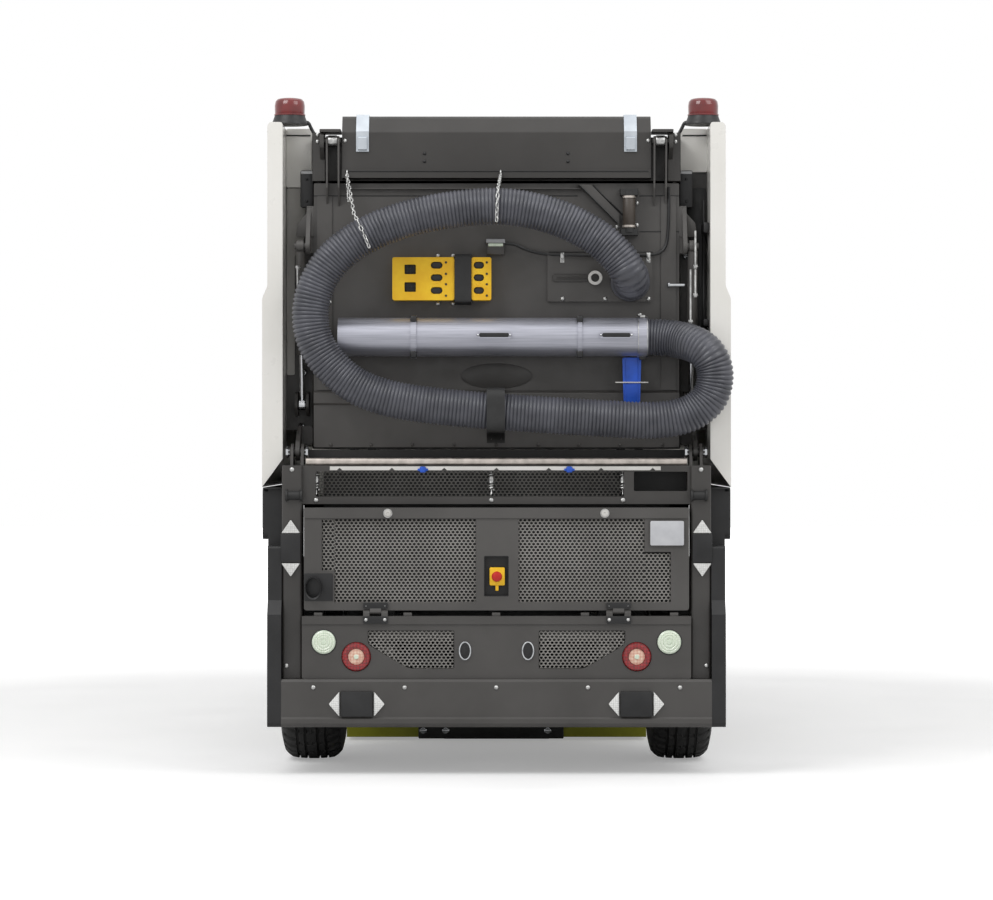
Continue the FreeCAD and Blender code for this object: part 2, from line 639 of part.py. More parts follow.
hopper = Piece("hopper_shell")
hopper.pad("XY", d.hopper_floor, d.hopper_roof,
           box(-d.hopper_half, d.hopper_half, d.hopper_rear, d.hopper_front, 30))
hopper_room = [(d.hopper_rear - 5, d.hopper_floor + d.wall), (-520, d.hopper_floor + d.wall),
               (d.hopper_front - d.wall, 1200, 60),
               (d.hopper_front - d.wall, d.hopper_roof - d.wall),
               (d.hopper_rear + d.wall, d.hopper_roof - d.wall), (d.hopper_rear + d.wall, 1715),
               (d.hopper_rear - 5, 1715)]
hopper.pocket("YZ", -d.hopper_half + d.wall, d.hopper_half - d.wall, hopper_room)
hopper.pocket("XY", d.hopper_floor - 5, 1100, circle(0, -650, 98))
hopper.pad("XZ", -1800, -1792, *both(box(536, 617, 990, 1870)))
hopper.pad("XZ", -340, -332, *both(box(536, 617, 940, 1800)))
hopper.pad("XZ", -1795, -335, *[side for z in (990, 1350, 1700)
                                for side in both(box(536, 617, z, z + 16))])
tip_arm = [(d.tip_y - 26, d.tip_z, 18), (d.tip_y, d.tip_z - 30, 22), (-1900, 936), (-1790, 946),
           (-1790, 1010), (-1900, 1000), (d.tip_y, d.tip_z + 32, 22)]
for near, far in both_sides(567, 579):
    hopper.pad("YZ", near, far, tip_arm)
hopper.pocket("YZ", -580, 580, circle(d.tip_y, d.tip_z, 12.06))
hopper.pad("XZ", -1865, -1800, *both(box(536, 579, 946, 1000, 8)))
lug = [(-1690, d.hopper_floor + 2), (-1640, 815, 30), (-1500, 815, 30), (-1440, d.hopper_floor + 2)]
for near, far in (*both_sides(366, 381), *both_sides(419, 434)):
    hopper.pad("YZ", near, far, lug)
hopper.pad("XY", 1712, 1852, *both(box(499, 535, -1905, -1860)))
for near, far in both_sides(500, 512):
    hopper.pad("YZ", near, far, [(-1900, 1770), (-1900, 1850), (d.lid_y - 22, 1850, 14),
                                 (d.lid_y - 22, d.lid_z - 18, 20)])
for near, far in both_sides(452, 505):
    hopper.pad("YZ", near, far, circle(d.lid_y, d.lid_z, 9))
hopper.pad("XY", 1850, 1858, *both(box(451, 512, -1958, -1855, 6)))
for near, far in (*both_sides(548, 556), *both_sides(580, 588)):
    hopper.pad("YZ", near, far, [(-1882, door_ram_foot[1], 20), (-1850, 1030, 20), (-1795, 1030),
                                 (-1795, 1100), (-1850, 1100, 20)])
hopper.pad("XY", 1640, 1744, *both(box(536, 571, -1862, -1796, 3)))

cowl = Piece("top_cowl")
cowl.pad("YZ", -448, 448, [(-1925, 1719), (-1925, 1852, 8), (-1895, 1901, 20), (-1300, 1901, 60),
                           (-1200, d.hopper_roof), (d.hopper_rear, d.hopper_roof),
                           (d.hopper_rear, 1719)])
cowl.pad("XZ", -1930, -1925, box(-448, 448, 1719, 1744))

latches = Piece("cowl_latches")
latch_side = [(-1929, 1795), (-1925, 1795), (-1925, 1852), (-1895, 1901), (-1840, 1901),
              (-1840, 1905), (-1898, 1905), (-1929, 1854)]
for near, far in both_sides(370, 407):
    latches.pad("YZ", near, far, latch_side)
for near, far in both_sides(376, 401):
    latches.pad("YZ", near, far, [(-1936, 1799, 3), (-1929, 1799), (-1929, 1840), (-1936, 1836, 3)])

panels = Piece("side_panels")
panel_end = [(d.panel_inner, 904), (d.body_half, d.panel_bottom), (d.body_half, 1368, 30),
             (d.shoulder_half, 1403, 30), (d.shoulder_half, d.panel_top, 14),
             (d.panel_inner, d.panel_top, 8)]
panels.pad("XZ", d.panel_rear, d.panel_front, *both(panel_end))
panels.pad("XZ", -1812, -1800, box(540, 617, 1745, 1872, 4))

beacons = Piece("beacons")
dome = [(0, -8), (53, -8), (53, 4), (44, 35), (44, 66, 8), (36, 76, 6), (0, 76)]
for centre_x in (-d.beacon_x, d.beacon_x):
    beacons.turn("XZ", d.beacon_y, (centre_x, d.panel_top + 8.3), [dome], axis="V_Axis")

lid = Piece("hopper_door")
lid.pad("XZ", d.lid_face, -1871, box(-531, 531, 938, 1080, 4))
lid.pad("XZ", d.lid_face + 5, -1871, box(-531, 531, 1070, 1705, 4))
lid.pad("YZ", -531, 531, [(d.lid_face + 4, 1058), (d.lid_face - 8, 1066, 4),
                          (d.lid_face - 8, 1096, 4), (d.lid_face + 6, 1104)])
for centre_x, width in ((-500, 44), (500, 44)):
    lid.pad("XZ", d.lid_face, d.lid_face + 6, box(centre_x - 22, centre_x + 22, 1104, 1668, 3))
hanger = [(-1902, 1640), (-1886, 1640), (-1886, 1700), (-1908, 1790), (d.lid_y + 17, d.lid_z, 14),
          (d.lid_y, d.lid_z + 20, 14), (d.lid_y - 17, d.lid_z, 14), (-1935, 1690)]
for near, far in (*both_sides(489, 494), *both_sides(455, 460)):
    lid.pad("YZ", near, far, hanger)
for near, far in both_sides(457, 492):
    lid.pad("YZ", near, far, circle(d.lid_y, d.lid_z, 13))
lid.pocket("YZ", -500, 500, circle(d.lid_y, d.lid_z, 9.06))
for near, far in both_sides(529, 550):
    lid.pad("YZ", near, far, box(-1898, -1875, 1500, 1640, 4))
ear_y, ear_z = door_ram_eye
for near, far in both_sides(540, 552):
    lid.pad("YZ", near, far, [(ear_y - 20, ear_z, 18), (ear_y, ear_z - 24, 18), (-1875, 1500),
                              (-1875, 1640), (-1895, 1640), (ear_y, ear_z + 24, 18)])
for near, far in both_sides(545, 584):
    lid.pad("YZ", near, far, circle(ear_y, ear_z, 9))
brace = [(240, 1700), (275, 1700), (356, 1616), (356, 1580)]
lid.pad("XZ", d.lid_face - 16, d.lid_face + 5, brace)
lid.pad("YZ", 148, 154, box(d.lid_face - 8, d.lid_face + 5, 1361, 1503))
lid.pad("XZ", d.lid_face - 8, d.lid_face + 5, box(154, 452, 1361, 1503, 4))
lid.pad("XZ", d.lid_face - 30, d.lid_face - 4, circle(286, 1429, 20))
lid.pocket("XZ", d.lid_face - 31, d.lid_face - 12, circle(286, 1429, 12))

lock = Piece("door_lock")
lock.pad("XY", 1560, 1680, circle(384, d.lid_face - 30, 18))
lock.pad("XY", 1552, 1570, box(358, 410, d.lid_face - 44, d.lid_face, 4))
lock.pad("XY", 1668, 1686, box(358, 410, d.lid_face - 44, d.lid_face, 4))
for z0, z1 in ((1552, 1570), (1668, 1686)):
    lock.pad("XZ", d.lid_face - 2, d.lid_face + 5, box(358, 410, z0, z1))

tube = Piece("suction_tube")
tube.pad("YZ", -457, 436, circle(d.tube_y, d.tube_z, d.tube_radius))
tube.pad("YZ", 406, 436, circle(d.tube_y, d.tube_z, d.tube_radius + 3))
for x0, x1 in ((-247, -231), (234, 246)):
    tube.pad("YZ", x0, x1, circle(d.tube_y, d.tube_z, d.tube_radius + 6))
    tube.pad("XZ", d.tube_y, d.lid_face + 5, box(x0, x1, d.tube_z - 50, d.tube_z + 50))
tube.pad("XZ", d.tube_y - 66, d.tube_y, box(-58, 44, 1250, 1270, 8), box(295, 393, 1250, 1270, 8))
tube.pocket("YZ", -475, 440, circle(d.tube_y, d.tube_z, d.tube_radius - 4))

chocks = Piece("wheel_chocks")
chock_y = -1962
chocks.pad("XZ", chock_y, d.lid_face + 5, box(-301, -122, 1363, 1487, 6),
           box(-72, -15, 1363, 1487, 6))
chocks.pad("XZ", chock_y + 4, d.lid_face + 5, box(-123, -71, 1375, 1475))
for z in (1401, 1452):
    chocks.pocket("XZ", chock_y, chock_y + 40, box(-266, -233, z - 14, z + 14, 3))
for z in (1391, 1428, 1464):
    chocks.pocket("XZ", chock_y, chock_y + 40, box(-190, -156, z - 10, z + 10, 9.9),
                  box(-66, -36, z - 10, z + 10, 9.9))

# Rams

tip_length = reach(tip_foot, tip_eye)
barrel = Piece("tip_ram_barrels")
barrel.pad("XY", 26, tip_length - 110, *both_circles(400, 0, 26))
barrel.pad("YZ", -430, 430, circle(0, 0, 16))
for near, far in both_sides(380, 420):
    barrel.pad("YZ", near, far, circle(0, 0, 32))
barrel.pocket("XY", 50, tip_length, *both_circles(400, 0, 15.05))
lean(barrel, tip_foot, tip_eye)

rod = Piece("tip_ram_rods")
rod.pad("XY", 60, tip_length - 20, *both_circles(400, 0, 15))
for near, far in both_sides(388, 412):
    rod.pad("YZ", near, far, circle(0, tip_length, 26))
lean(rod, tip_foot, tip_eye)

door_length = reach(door_ram_foot, door_ram_eye)
barrel = Piece("door_ram_barrels")
barrel.pad("XY", 150, door_length - 14, *both_circles(568, 0, 14))
for near, far in both_sides(558, 578):
    barrel.pad("YZ", near, far, circle(0, door_length, 17))
barrel.pocket("YZ", -600, 600, circle(0, door_length, 9.06))
barrel.pocket("XY", 100, door_length - 40, *both_circles(568, 0, 7.05))
lean(barrel, door_ram_foot, door_ram_eye)

rod = Piece("door_ram_rods")
rod.pad("XY", 14, door_length - 60, *both_circles(568, 0, 7))
for near, far in both_sides(560, 576):
    rod.pad("YZ", near, far, circle(0, 0, 16))
lean(rod, door_ram_foot, door_ram_eye)

# Grille door

hatch = Piece("grille_door")
hatch.pad("XZ", d.hatch_y, d.hatch_y + 30, box(-551, 551, 471, 765, 8))
hatch.pad("XZ", d.hatch_y - 4, d.hatch_y, box(-551, 551, 735, 765, 4))
left_mesh = [(-500, 732), (-500, 585), (-464, 585), (-464, 494), (-59, 494), (-59, 732)]
right_mesh = [(63, 732), (63, 494), (499, 494), (499, 638), (424, 638), (424, 732)]
hatch.pocket("XZ", d.hatch_y - 5, d.hatch_y + 30, left_mesh, right_mesh)
hatch.pocket("XZ", d.hatch_y, d.hatch_y + 24, box(-36, 35, 511, 627, 4),
             box(-506, -469, 499, 576, 4))
hatch.pad("XZ", d.hatch_y - 5, d.hatch_y, box(438, 538, 655, 729, 6))
for x0, x1 in hinge_spans:
    hatch.pad("XZ", d.hatch_y - 6, d.hatch_y, box(x0, x1, 476, 494))
    hatch.pad("YZ", x0 + 19, x1 - 19, [(d.hatch_y - 6, 490), (d.hatch_y - 13, d.hatch_z, 5),
                                       (d.hatch_y - 6, d.hatch_z - 8, 5),
                                       (d.hatch_y + 1, d.hatch_z, 5), (d.hatch_y + 1, 490)])
hatch.pocket("YZ", -383, 383, circle(d.hatch_y - 6, d.hatch_z, 3.06))

mesh = Piece("grille_mesh")
mesh_y = d.hatch_y + 5
mesh.pad("XZ", mesh_y, mesh_y + 3, left_mesh, right_mesh)
for z in (533, 600, 666):
    mesh.pad("XZ", mesh_y + 2, mesh_y + 12, box(-462, -59, z - 4, z + 4),
             box(63, 422, z - 4, z + 4))
for start, width, count in ((-456, 372, 13), (72, 330, 12)):
    slot = mesh.pocket("XZ", mesh_y, mesh_y + 3, box(start, start + 18, 500, 525),
                       box(start, start + 18, 541, 592), box(start, start + 18, 608, 658),
                       box(start, start + 18, 674, 724))
    mesh.row_of([slot], "X_Axis", width, count)

fittings = Piece("door_fittings")
fittings.pad("XZ", d.hatch_y - 14, d.hatch_y - 4, circle(-311, 749, 10), circle(310, 749, 10))
fittings.pad("XZ", d.hatch_y - 22, d.hatch_y, circle(-530, 536, 19))

stop = Piece("emergency_stop")
stop.pad("XZ", -2062, -2036, box(-20, 24, 542, 594, 4))
stop.pad("XZ", -2070, -2060, circle(1, 568, 9))
stop.pad("XZ", -2080, -2070, circle(1, 568, 14))

# Wander hose: straight runs joined by arcs, from the inlet plate round to the tube's end

hose_y = number(d.hose_y)
hose_stops = [(390, number(d.lid_face) - 8.3, 1402, 0), (390, hose_y, 1402, 62),
              (357, hose_y, 1478, 60), (277, hose_y, 1551, 90), (146, hose_y, 1611, 150),
              (-19, hose_y, 1636, 300), (-264, hose_y, 1598, 300), (-432, hose_y, 1520, 160),
              (-521, hose_y, 1414, 150), (-541, hose_y, 1283, 150), (-486, hose_y, 1172, 150),
              (-364, hose_y, 1085, 200), (-147, hose_y, 1050, 300), (259, hose_y, 1023, 500),
              (500, hose_y, 1010, 120), (610, hose_y, 1062, 90), (634, hose_y, 1155, 90),
              (596, hose_y, 1226, 60), (505, number(d.tube_y), 1256, 55),
              (436.3, number(d.tube_y), 1256, 0)]


def hose_path(stops):
    """A wire of straight runs with a tangent arc at each inner stop."""
    points = [Vector(*stop[:3]) for stop in stops]
    edges = []
    loose = points[0]
    for before, corner, after, stop in zip(points, points[1:], points[2:], stops[1:]):
        into, out = before - corner, after - corner
        half = into.getAngle(out) / 2
        trim = stop[3] / math.tan(half)
        start = corner + into.normalize() * trim
        end = corner + out.normalize() * trim
        bisector = (into + out).normalize()
        middle = corner + bisector * (stop[3] / math.sin(half) - stop[3])
        edges.append(Part.LineSegment(loose, start).toShape())
        edges.append(Part.Arc(start, middle, end).toShape())
        loose = end
    edges.append(Part.LineSegment(loose, points[-1]).toShape())
    return Part.Wire(edges)


def swept_tube(label, path, radius):
    first = path.Edges[0]
    ring = Part.makeCircle(radius, first.valueAt(first.FirstParameter),
                           first.tangentAt(first.FirstParameter))
    tube = doc.addObject("Part::Feature", label)
    tube.Label = label
    tube.Shape = path.makePipeShell([Part.Wire(ring)], True, False)
    return tube


def chain_link(length=16, width=10, wire=2.6):
    """One flat eight-sided link, centred, with its length along X."""
    rings = []
    for inset, corner in ((0, 3), (wire, 1.6)):
        u, v = length / 2 - inset, width / 2 - inset
        quarter = [(u, v - corner), (u - corner, v)]
        half = quarter + [(-x, y) for x, y in reversed(quarter)]
        loop = half + [(-x, -y) for x, y in half]
        rings.append(Part.Face(Part.makePolygon([Vector(x, y, -wire / 2) for x, y in loop + loop[:1]])))
    return rings[0].cut(rings[1]).extrude(Vector(0, 0, wire))


def chain_links(stops, pitch=13.6):
    """Links laid end to end along straight runs, each turned a quarter from the last."""
    points = [Vector(*stop) for stop in stops]
    travelled = pitch / 2
    links = []
    for start, end in zip(points, points[1:]):
        run = end - start
        direction = Vector(run).normalize()
        while travelled < run.Length:
            link = chain_link()
            twist = Rotation(Vector(1, 0, 0), 45 if len(links) % 2 else -45)
            link.Placement = Placement(start + direction * travelled,
                                       Rotation(Vector(1, 0, 0), direction) * twist)
            links.append(link)
            travelled += pitch
        travelled -= run.Length
    return links


hook_side = [(d.lid_face + 5, 1660), (d.lid_face + 5, 1700), (-1936, 1712), (-1936, 1736),
             (-1941, 1736), (-1941, 1706), (-1906, 1690), (-1906, 1660)]
hooks = Piece("hose_hooks")
for hook_x in (-433, 12):
    hooks.pad("YZ", hook_x - 2, hook_x + 2, hook_side)

strap = Piece("hose_strap")
strap.pad("YZ", -28, 24, [(d.lid_face + 5, 1108), (-2101.3, 1108, 60), (-2101.3, 981.4, 58),
                          (d.lid_face, 981.4), (d.lid_face, 984.4), (-2098.3, 984.4, 55),
                          (-2098.3, 1105, 57), (d.lid_face + 5, 1105)])
strap.pad("XZ", d.lid_face - 4, d.lid_face, box(-28, 24, 950, 984.4))

hose_flap = Piece("hose_flap")
hose_flap.pad("XZ", -1970, -1966, box(363, 418, 1040, 1197.3))

hose_line = hose_path(hose_stops)
hose_tube = swept_tube("hose_tube", hose_line, number(d.hose_radius))
doc.recompute()
left_chain = chain_links([(-433, -1940, 1728), (-408, -2062, 1606), (-392, -2097, 1574),
                          (-378, -2102, 1545), (-364, -2102, 1510)])
spare_chain = chain_links([(-433, -1940, 1728), (-427, -1947, 1650)])
middle_chain = chain_links([(12, -1940, 1728), (8, -2045, 1698), (4, -2093, 1675),
                            (2, -2102.2, 1632), (0, -2102.2, 1578)])
chains = doc.addObject("Part::Feature", "hose_chains")
chains.Shape = hooks.body.Shape.multiFuse(left_chain + spare_chain + middle_chain)
hose = doc.addObject("Part::Compound", "wander_hose")
hose.Links = [hose_tube, strap.body, hose_flap.body, chains]
print(f"wander hose {hose_line.Length:.0f} mm, volume over section times length "
      f"{hose_tube.Shape.Volume / hose_line.Length / math.pi / number(d.hose_radius) ** 2:.4f}")

for piece in pieces.values():
    piece.body.Tip.Refine = True
doc.recompute()
os.makedirs("parts", exist_ok=True)
shapes = {label: piece.body for label, piece in pieces.items() if not label.startswith("hose_")}
shapes["wander_hose"] = hose
for feature in doc.Objects:
    if any(flag in ("Invalid", "Error") for flag in feature.State):
        owner = feature.getParentGeoFeatureGroup()
        raise ValueError(f"{feature.Label} of {owner and owner.Label}: {feature.State}")
for label, feature in shapes.items():
    if feature.Shape.isNull() or not feature.Shape.isValid():
        raise ValueError(f"{label} is not a valid solid")
    feature.Shape.exportStep(f"parts/{label}.step")
print(len(shapes), "parts")
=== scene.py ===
import functools
import math

import bmesh
import bpy
from mathutils import Euler, Matrix, Vector
from mathutils.bvhtree import BVHTree


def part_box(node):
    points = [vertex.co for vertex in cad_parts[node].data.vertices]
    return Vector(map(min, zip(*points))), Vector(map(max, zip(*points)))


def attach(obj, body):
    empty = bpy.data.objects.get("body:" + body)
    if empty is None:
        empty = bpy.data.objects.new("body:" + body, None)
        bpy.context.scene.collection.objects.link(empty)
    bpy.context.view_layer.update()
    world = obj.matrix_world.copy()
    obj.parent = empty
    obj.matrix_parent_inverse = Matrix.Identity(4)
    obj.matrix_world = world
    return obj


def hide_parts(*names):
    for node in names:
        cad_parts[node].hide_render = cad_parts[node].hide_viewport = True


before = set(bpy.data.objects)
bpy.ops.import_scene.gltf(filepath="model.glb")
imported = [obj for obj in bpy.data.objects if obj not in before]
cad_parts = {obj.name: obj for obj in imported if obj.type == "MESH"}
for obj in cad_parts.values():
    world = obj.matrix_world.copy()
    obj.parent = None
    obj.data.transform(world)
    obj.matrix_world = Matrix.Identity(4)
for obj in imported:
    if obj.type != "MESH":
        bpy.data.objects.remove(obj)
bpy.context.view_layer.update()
mm = 0.001                      # sizes below are in millimetres, the scene is in metres
up, forward, rearward, right, left = (0, 0, 1), (0, 1, 0), (0, -1, 0), (1, 0, 0), (-1, 0, 0)
print("frame loaded:", len(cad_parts), "nodes")


# Node helpers

def at(x, y, z):
    return Vector((x, y, z)) * mm


def linearColour(hexColour):
    channels = [int(hexColour[i:i + 2], 16) / 255 for i in (1, 3, 5)]
    return tuple(c / 12.92 if c <= 0.04045 else ((c + 0.055) / 1.055) ** 2.4 for c in channels) + (1.0,)


def addNode(material, kind, settings=None, links=None):
    # "stops" sets the two ends of a colour ramp as {position: "#rrggbb"}
    node = material.node_tree.nodes.new(kind)
    for name, value in (settings or {}).items():
        if name == "stops":
            for end, (position, colour) in zip(node.color_ramp.elements, value.items()):
                end.position = position
                end.color = linearColour(colour)
        elif name in node.inputs:
            node.inputs[name].default_value = value
        else:
            setattr(node, name, value)
    for socket, source in (links or {}).items():
        material.node_tree.links.new(source, node.inputs[socket])
    return node


def startMaterial(name, **settings):
    material = bpy.data.materials.new(name)
    material.use_nodes = True
    for socket, value in settings.items():
        material.node_tree.nodes["Principled BSDF"].inputs[socket.replace("_", " ")].default_value = value
    return material, addNode(material, "ShaderNodeTexCoord").outputs["Object"]


def pattern(material, coords, kind, size, output="Fac", **settings):
    # a texture whose clouds or cells are about size mm across
    settings["Scale"] = 1 / (size * mm)
    return addNode(material, "ShaderNodeTex" + kind, settings, {"Vector": coords}).outputs[output]


def drive(material, source, colours=None, gloss=None, relief=None, reach=(0.0, 1.0)):
    # leads one texture to the colour, roughness (low, high) and bump (strength, mm) of the surface
    shader = material.node_tree.nodes["Principled BSDF"]
    made = []
    if colours:
        ramp = addNode(material, "ShaderNodeValToRGB", {"stops": colours}, {"Fac": source})
        made.append(("Base Color", ramp))
    if gloss:
        ends = {"From Min": reach[0], "From Max": reach[1], "To Min": gloss[0], "To Max": gloss[1]}
        made.append(("Roughness", addNode(material, "ShaderNodeMapRange", ends, {"Value": source})))
    if relief:
        depth = {"Strength": relief[0], "Distance": relief[1] * mm}
        made.append(("Normal", addNode(material, "ShaderNodeBump", depth, {"Height": source})))
    for socket, node in made:
        material.node_tree.links.new(node.outputs[0], shader.inputs[socket])


# Materials

def enamelledSteel(name, light, dark, roughness=0.42, coat=0.0, peel=6, relief=0.25):
    # sprayed enamel on sheet steel: even colour, soft gloss, and orange peel drawn coarser than the real 2 mm
    material, coords = startMaterial(name, IOR=1.5, Coat_Weight=coat, Coat_Roughness=0.12)
    drive(material, pattern(material, coords, "Noise", 180, Detail=4.0), {0.35: dark, 0.65: light})
    drive(material, pattern(material, coords, "Noise", 35, Detail=5.0),
          gloss=(roughness - 0.06, roughness + 0.1), reach=(0.3, 0.7))
    drive(material, pattern(material, coords, "Noise", peel, Detail=2.0), relief=(relief, 0.3))
    return material


def zincSteel(name, light, dark, roughness=0.34, grain=12):
    # zinc plated steel: grey metal with a cloudy, slightly mottled shine
    material, coords = startMaterial(name, Metallic=1.0)
    drive(material, pattern(material, coords, "Noise", grain, Detail=6.0), {0.35: dark, 0.65: light},
          (roughness - 0.08, roughness + 0.15), (0.15, 0.2))
    return material


def drawnAluminium(name, light, dark):
    # anodised drawn tube: satin metal with draw lines along its length, drawn coarser than the real ones
    material, coords = startMaterial(name, Metallic=0.75)
    stretched = addNode(material, "ShaderNodeMapping", {"Scale": (0.02, 1.0, 1.0)}, {"Vector": coords})
    drive(material, pattern(material, stretched.outputs["Vector"], "Noise", 3, Detail=3.0),
          {0.3: dark, 0.7: light}, (0.3, 0.5), (0.12, 0.2))
    return material


def mouldedPlastic(name, light, dark, roughness=0.45, grain=4, relief=0.3, coat=0.0):
    # injection moulded plastic: flat colour with a fine leather-like mould grain
    material, coords = startMaterial(name, IOR=1.49, Coat_Weight=coat)
    drive(material, pattern(material, coords, "Noise", 60, Detail=3.0), {0.35: dark, 0.65: light},
          (roughness - 0.08, roughness + 0.08))
    drive(material, pattern(material, coords, "Voronoi", grain, "Distance"), relief=(relief, 0.15))
    return material


def vulcanisedRubber(name, light, dark, roughness=0.7):
    # tyre and flap rubber: matt, nearly black, a little chalky on raised places
    material, coords = startMaterial(name, IOR=1.52)
    drive(material, pattern(material, coords, "Noise", 25, Detail=8.0), {0.4: dark, 0.75: light},
          (roughness - 0.12, roughness + 0.12))
    drive(material, pattern(material, coords, "Noise", 4, Detail=4.0), relief=(0.35, 0.4))
    return material


def prismLens(name, light, dark, prism=9):
    # moulded acrylic lens: glossy skin over a grid of small prisms
    material, coords = startMaterial(name, IOR=1.49, Roughness=0.12, Coat_Weight=0.6)
    drive(material, pattern(material, coords, "Voronoi", prism, "Distance", Randomness=0.25),
          {0.15: light, 0.75: dark}, relief=(0.5, 1.2))
    return material


def tintedGlass(name, colour, dusty):
    # laminated cab glass: clear with a grey-green tint and a few dust marks
    material, coords = startMaterial(name, IOR=1.45, Transmission_Weight=0.96)
    drive(material, pattern(material, coords, "Noise", 90, Detail=6.0), {0.35: colour, 0.65: dusty},
          (0.0, 0.02))
    return material


def wovenCloth(name, light, dark, thread=5):
    # seat cloth: plain weave of round yarns, with a soft sheen at grazing angles
    material, coords = startMaterial(name, Roughness=0.85, Sheen_Weight=0.3, Sheen_Roughness=0.5)
    warp, weft = [pattern(material, coords, "Wave", thread * 3.1, bands_direction=way) for way in "XY"]
    weave = addNode(material, "ShaderNodeMath", {"operation": "MULTIPLY"}, {0: warp, 1: weft})
    drive(material, weave.outputs["Value"], {0.1: dark, 0.8: light}, relief=(0.4, 0.8))
    return material


finishes = {
    "greyEnamel": enamelledSteel("enamelledSteelWarmGrey", "#514f4d", "#474543"),
    "greyEnamelDark": enamelledSteel("enamelledSteelCharcoal", "#403e3c", "#373533", relief=0.12),
    # the cowl's grey is the warm grey enamel made darker: painted shade that takes back the extra key light the
    # cowl catches
    "cowlEnamelPaintedShade": enamelledSteel("enamelledSteelCowlPaintedShade", "#3a3836", "#33312f"),
    "bumperEnamel": enamelledSteel("enamelledSteelBumper", "#4a4846", "#413f3d"),
    "punchedSteel": enamelledSteel("enamelledSteelPunched", "#b3b0ab", "#9c9994", 0.38),
    "galvanised": zincSteel("galvanisedSteelDull", "#cfc7c0", "#aea7a0", 0.5, 25),
    "blackEnamel": enamelledSteel("enamelledSteelBlack", "#232323", "#1b1b1b", 0.45),
    "whiteGelcoat": enamelledSteel("gelcoatWhite", "#ebe9e4", "#e6e4de", 0.32, 0.5, 20, 0.12),
    "limeEnamel": enamelledSteel("enamelledSteelLime", "#9a9b10", "#85860f", 0.4),
    "silverEnamel": enamelledSteel("enamelledSteelSilver", "#b9babb", "#a5a6a8", 0.35),
    "satinSteel": zincSteel("stainlessSteelSatin", "#c4cad0", "#b4bac1", 0.42, 60),
    "zinc": zincSteel("zincPlatedSteel", "#d2d2d0", "#a9a9a8"),
    "whiteSteel": enamelledSteel("enamelledSteelWhite", "#dcdad6", "#c6c4bf", 0.4),
    "chromedRod": zincSteel("hardChromedSteel", "#dadbdd", "#c2c3c6", 0.16, 60),
    "aluminium": drawnAluminium("anodisedAluminiumDrawn", "#b9bac4", "#a4a5af"),
    "hoseVinyl": mouldedPlastic("extrudedVinylGreyBlue", "#57585f", "#46474d", 0.34, 6),
    "tyreRubber": vulcanisedRubber("vulcanisedTyreRubber", "#2a2927", "#181817"),
    "flapRubber": vulcanisedRubber("vulcanisedFlapRubber", "#262626", "#171717", 0.62),
    "blueRubber": mouldedPlastic("mouldedPolyurethaneBlue", "#2459c9", "#1a49a8", 0.4),
    "redLens": prismLens("acrylicLensRed", "#a51f24", "#5c1013"),
    "paleLens": prismLens("acrylicLensClear", "#f3f8ea", "#d0e0c8", 6),
    "roseLens": prismLens("acrylicLensRose", "#f4dcc4", "#cf9580"),
    "glazing": tintedGlass("laminatedGlassTinted", "#a9b6b1", "#b2beb9"),
    "clearCover": tintedGlass("polycarbonateClear", "#eef1f1", "#e4e8e8"),
    "liningGrey": enamelledSteel("enamelledSteelLining", "#c3c1bc", "#adaba6", 0.5),
    "brownOxide": enamelledSteel("oxidisedSteelBrown", "#4c443d", "#3a332d", 0.5),
    "blackPlastic": mouldedPlastic("mouldedNylonBlack", "#1f1f20", "#161617"),
    "redDome": mouldedPlastic("polycarbonateDarkRed", "#7d2222", "#611a1a", 0.2, coat=0.5),
    "redPlastic": mouldedPlastic("mouldedNylonRed", "#d8241c", "#b81c16", 0.35),
    "yellowPlastic": mouldedPlastic("mouldedPolyethyleneYellow", "#fccd25", "#efb817", 0.5),
    "bristle": mouldedPlastic("extrudedPolypropyleneBristle", "#3b3b3d", "#232324", 0.6),
    "seatCloth": wovenCloth("wovenPolyesterCharcoal", "#45464a", "#26272a"),
    "amberLens": prismLens("acrylicLensAmber", "#e08a1c", "#8f4c0a"),
    "mirrorGlass": zincSteel("silveredMirrorGlass", "#dfe3e4", "#cfd4d6", 0.1, 80),
    "darkScreen": mouldedPlastic("displayGlassDark", "#15181b", "#0c0e10", 0.15, coat=0.6),
    "paleLabel": mouldedPlastic("polyesterPlateBlank", "#cfd0d3", "#bdbec2", 0.35),
    "chromePlastic": zincSteel("chromedBezel", "#cfd1d3", "#b3b5b8", 0.14, 40),
    "reflector": prismLens("acrylicReflectorWhite", "#f4f4f2", "#c9c9c6", 6),
    "castIron": enamelledSteel("castIronPainted", "#3a3a3b", "#2b2b2c", 0.6, peel=5, relief=0.6),
}
print("materials made:", len(finishes))

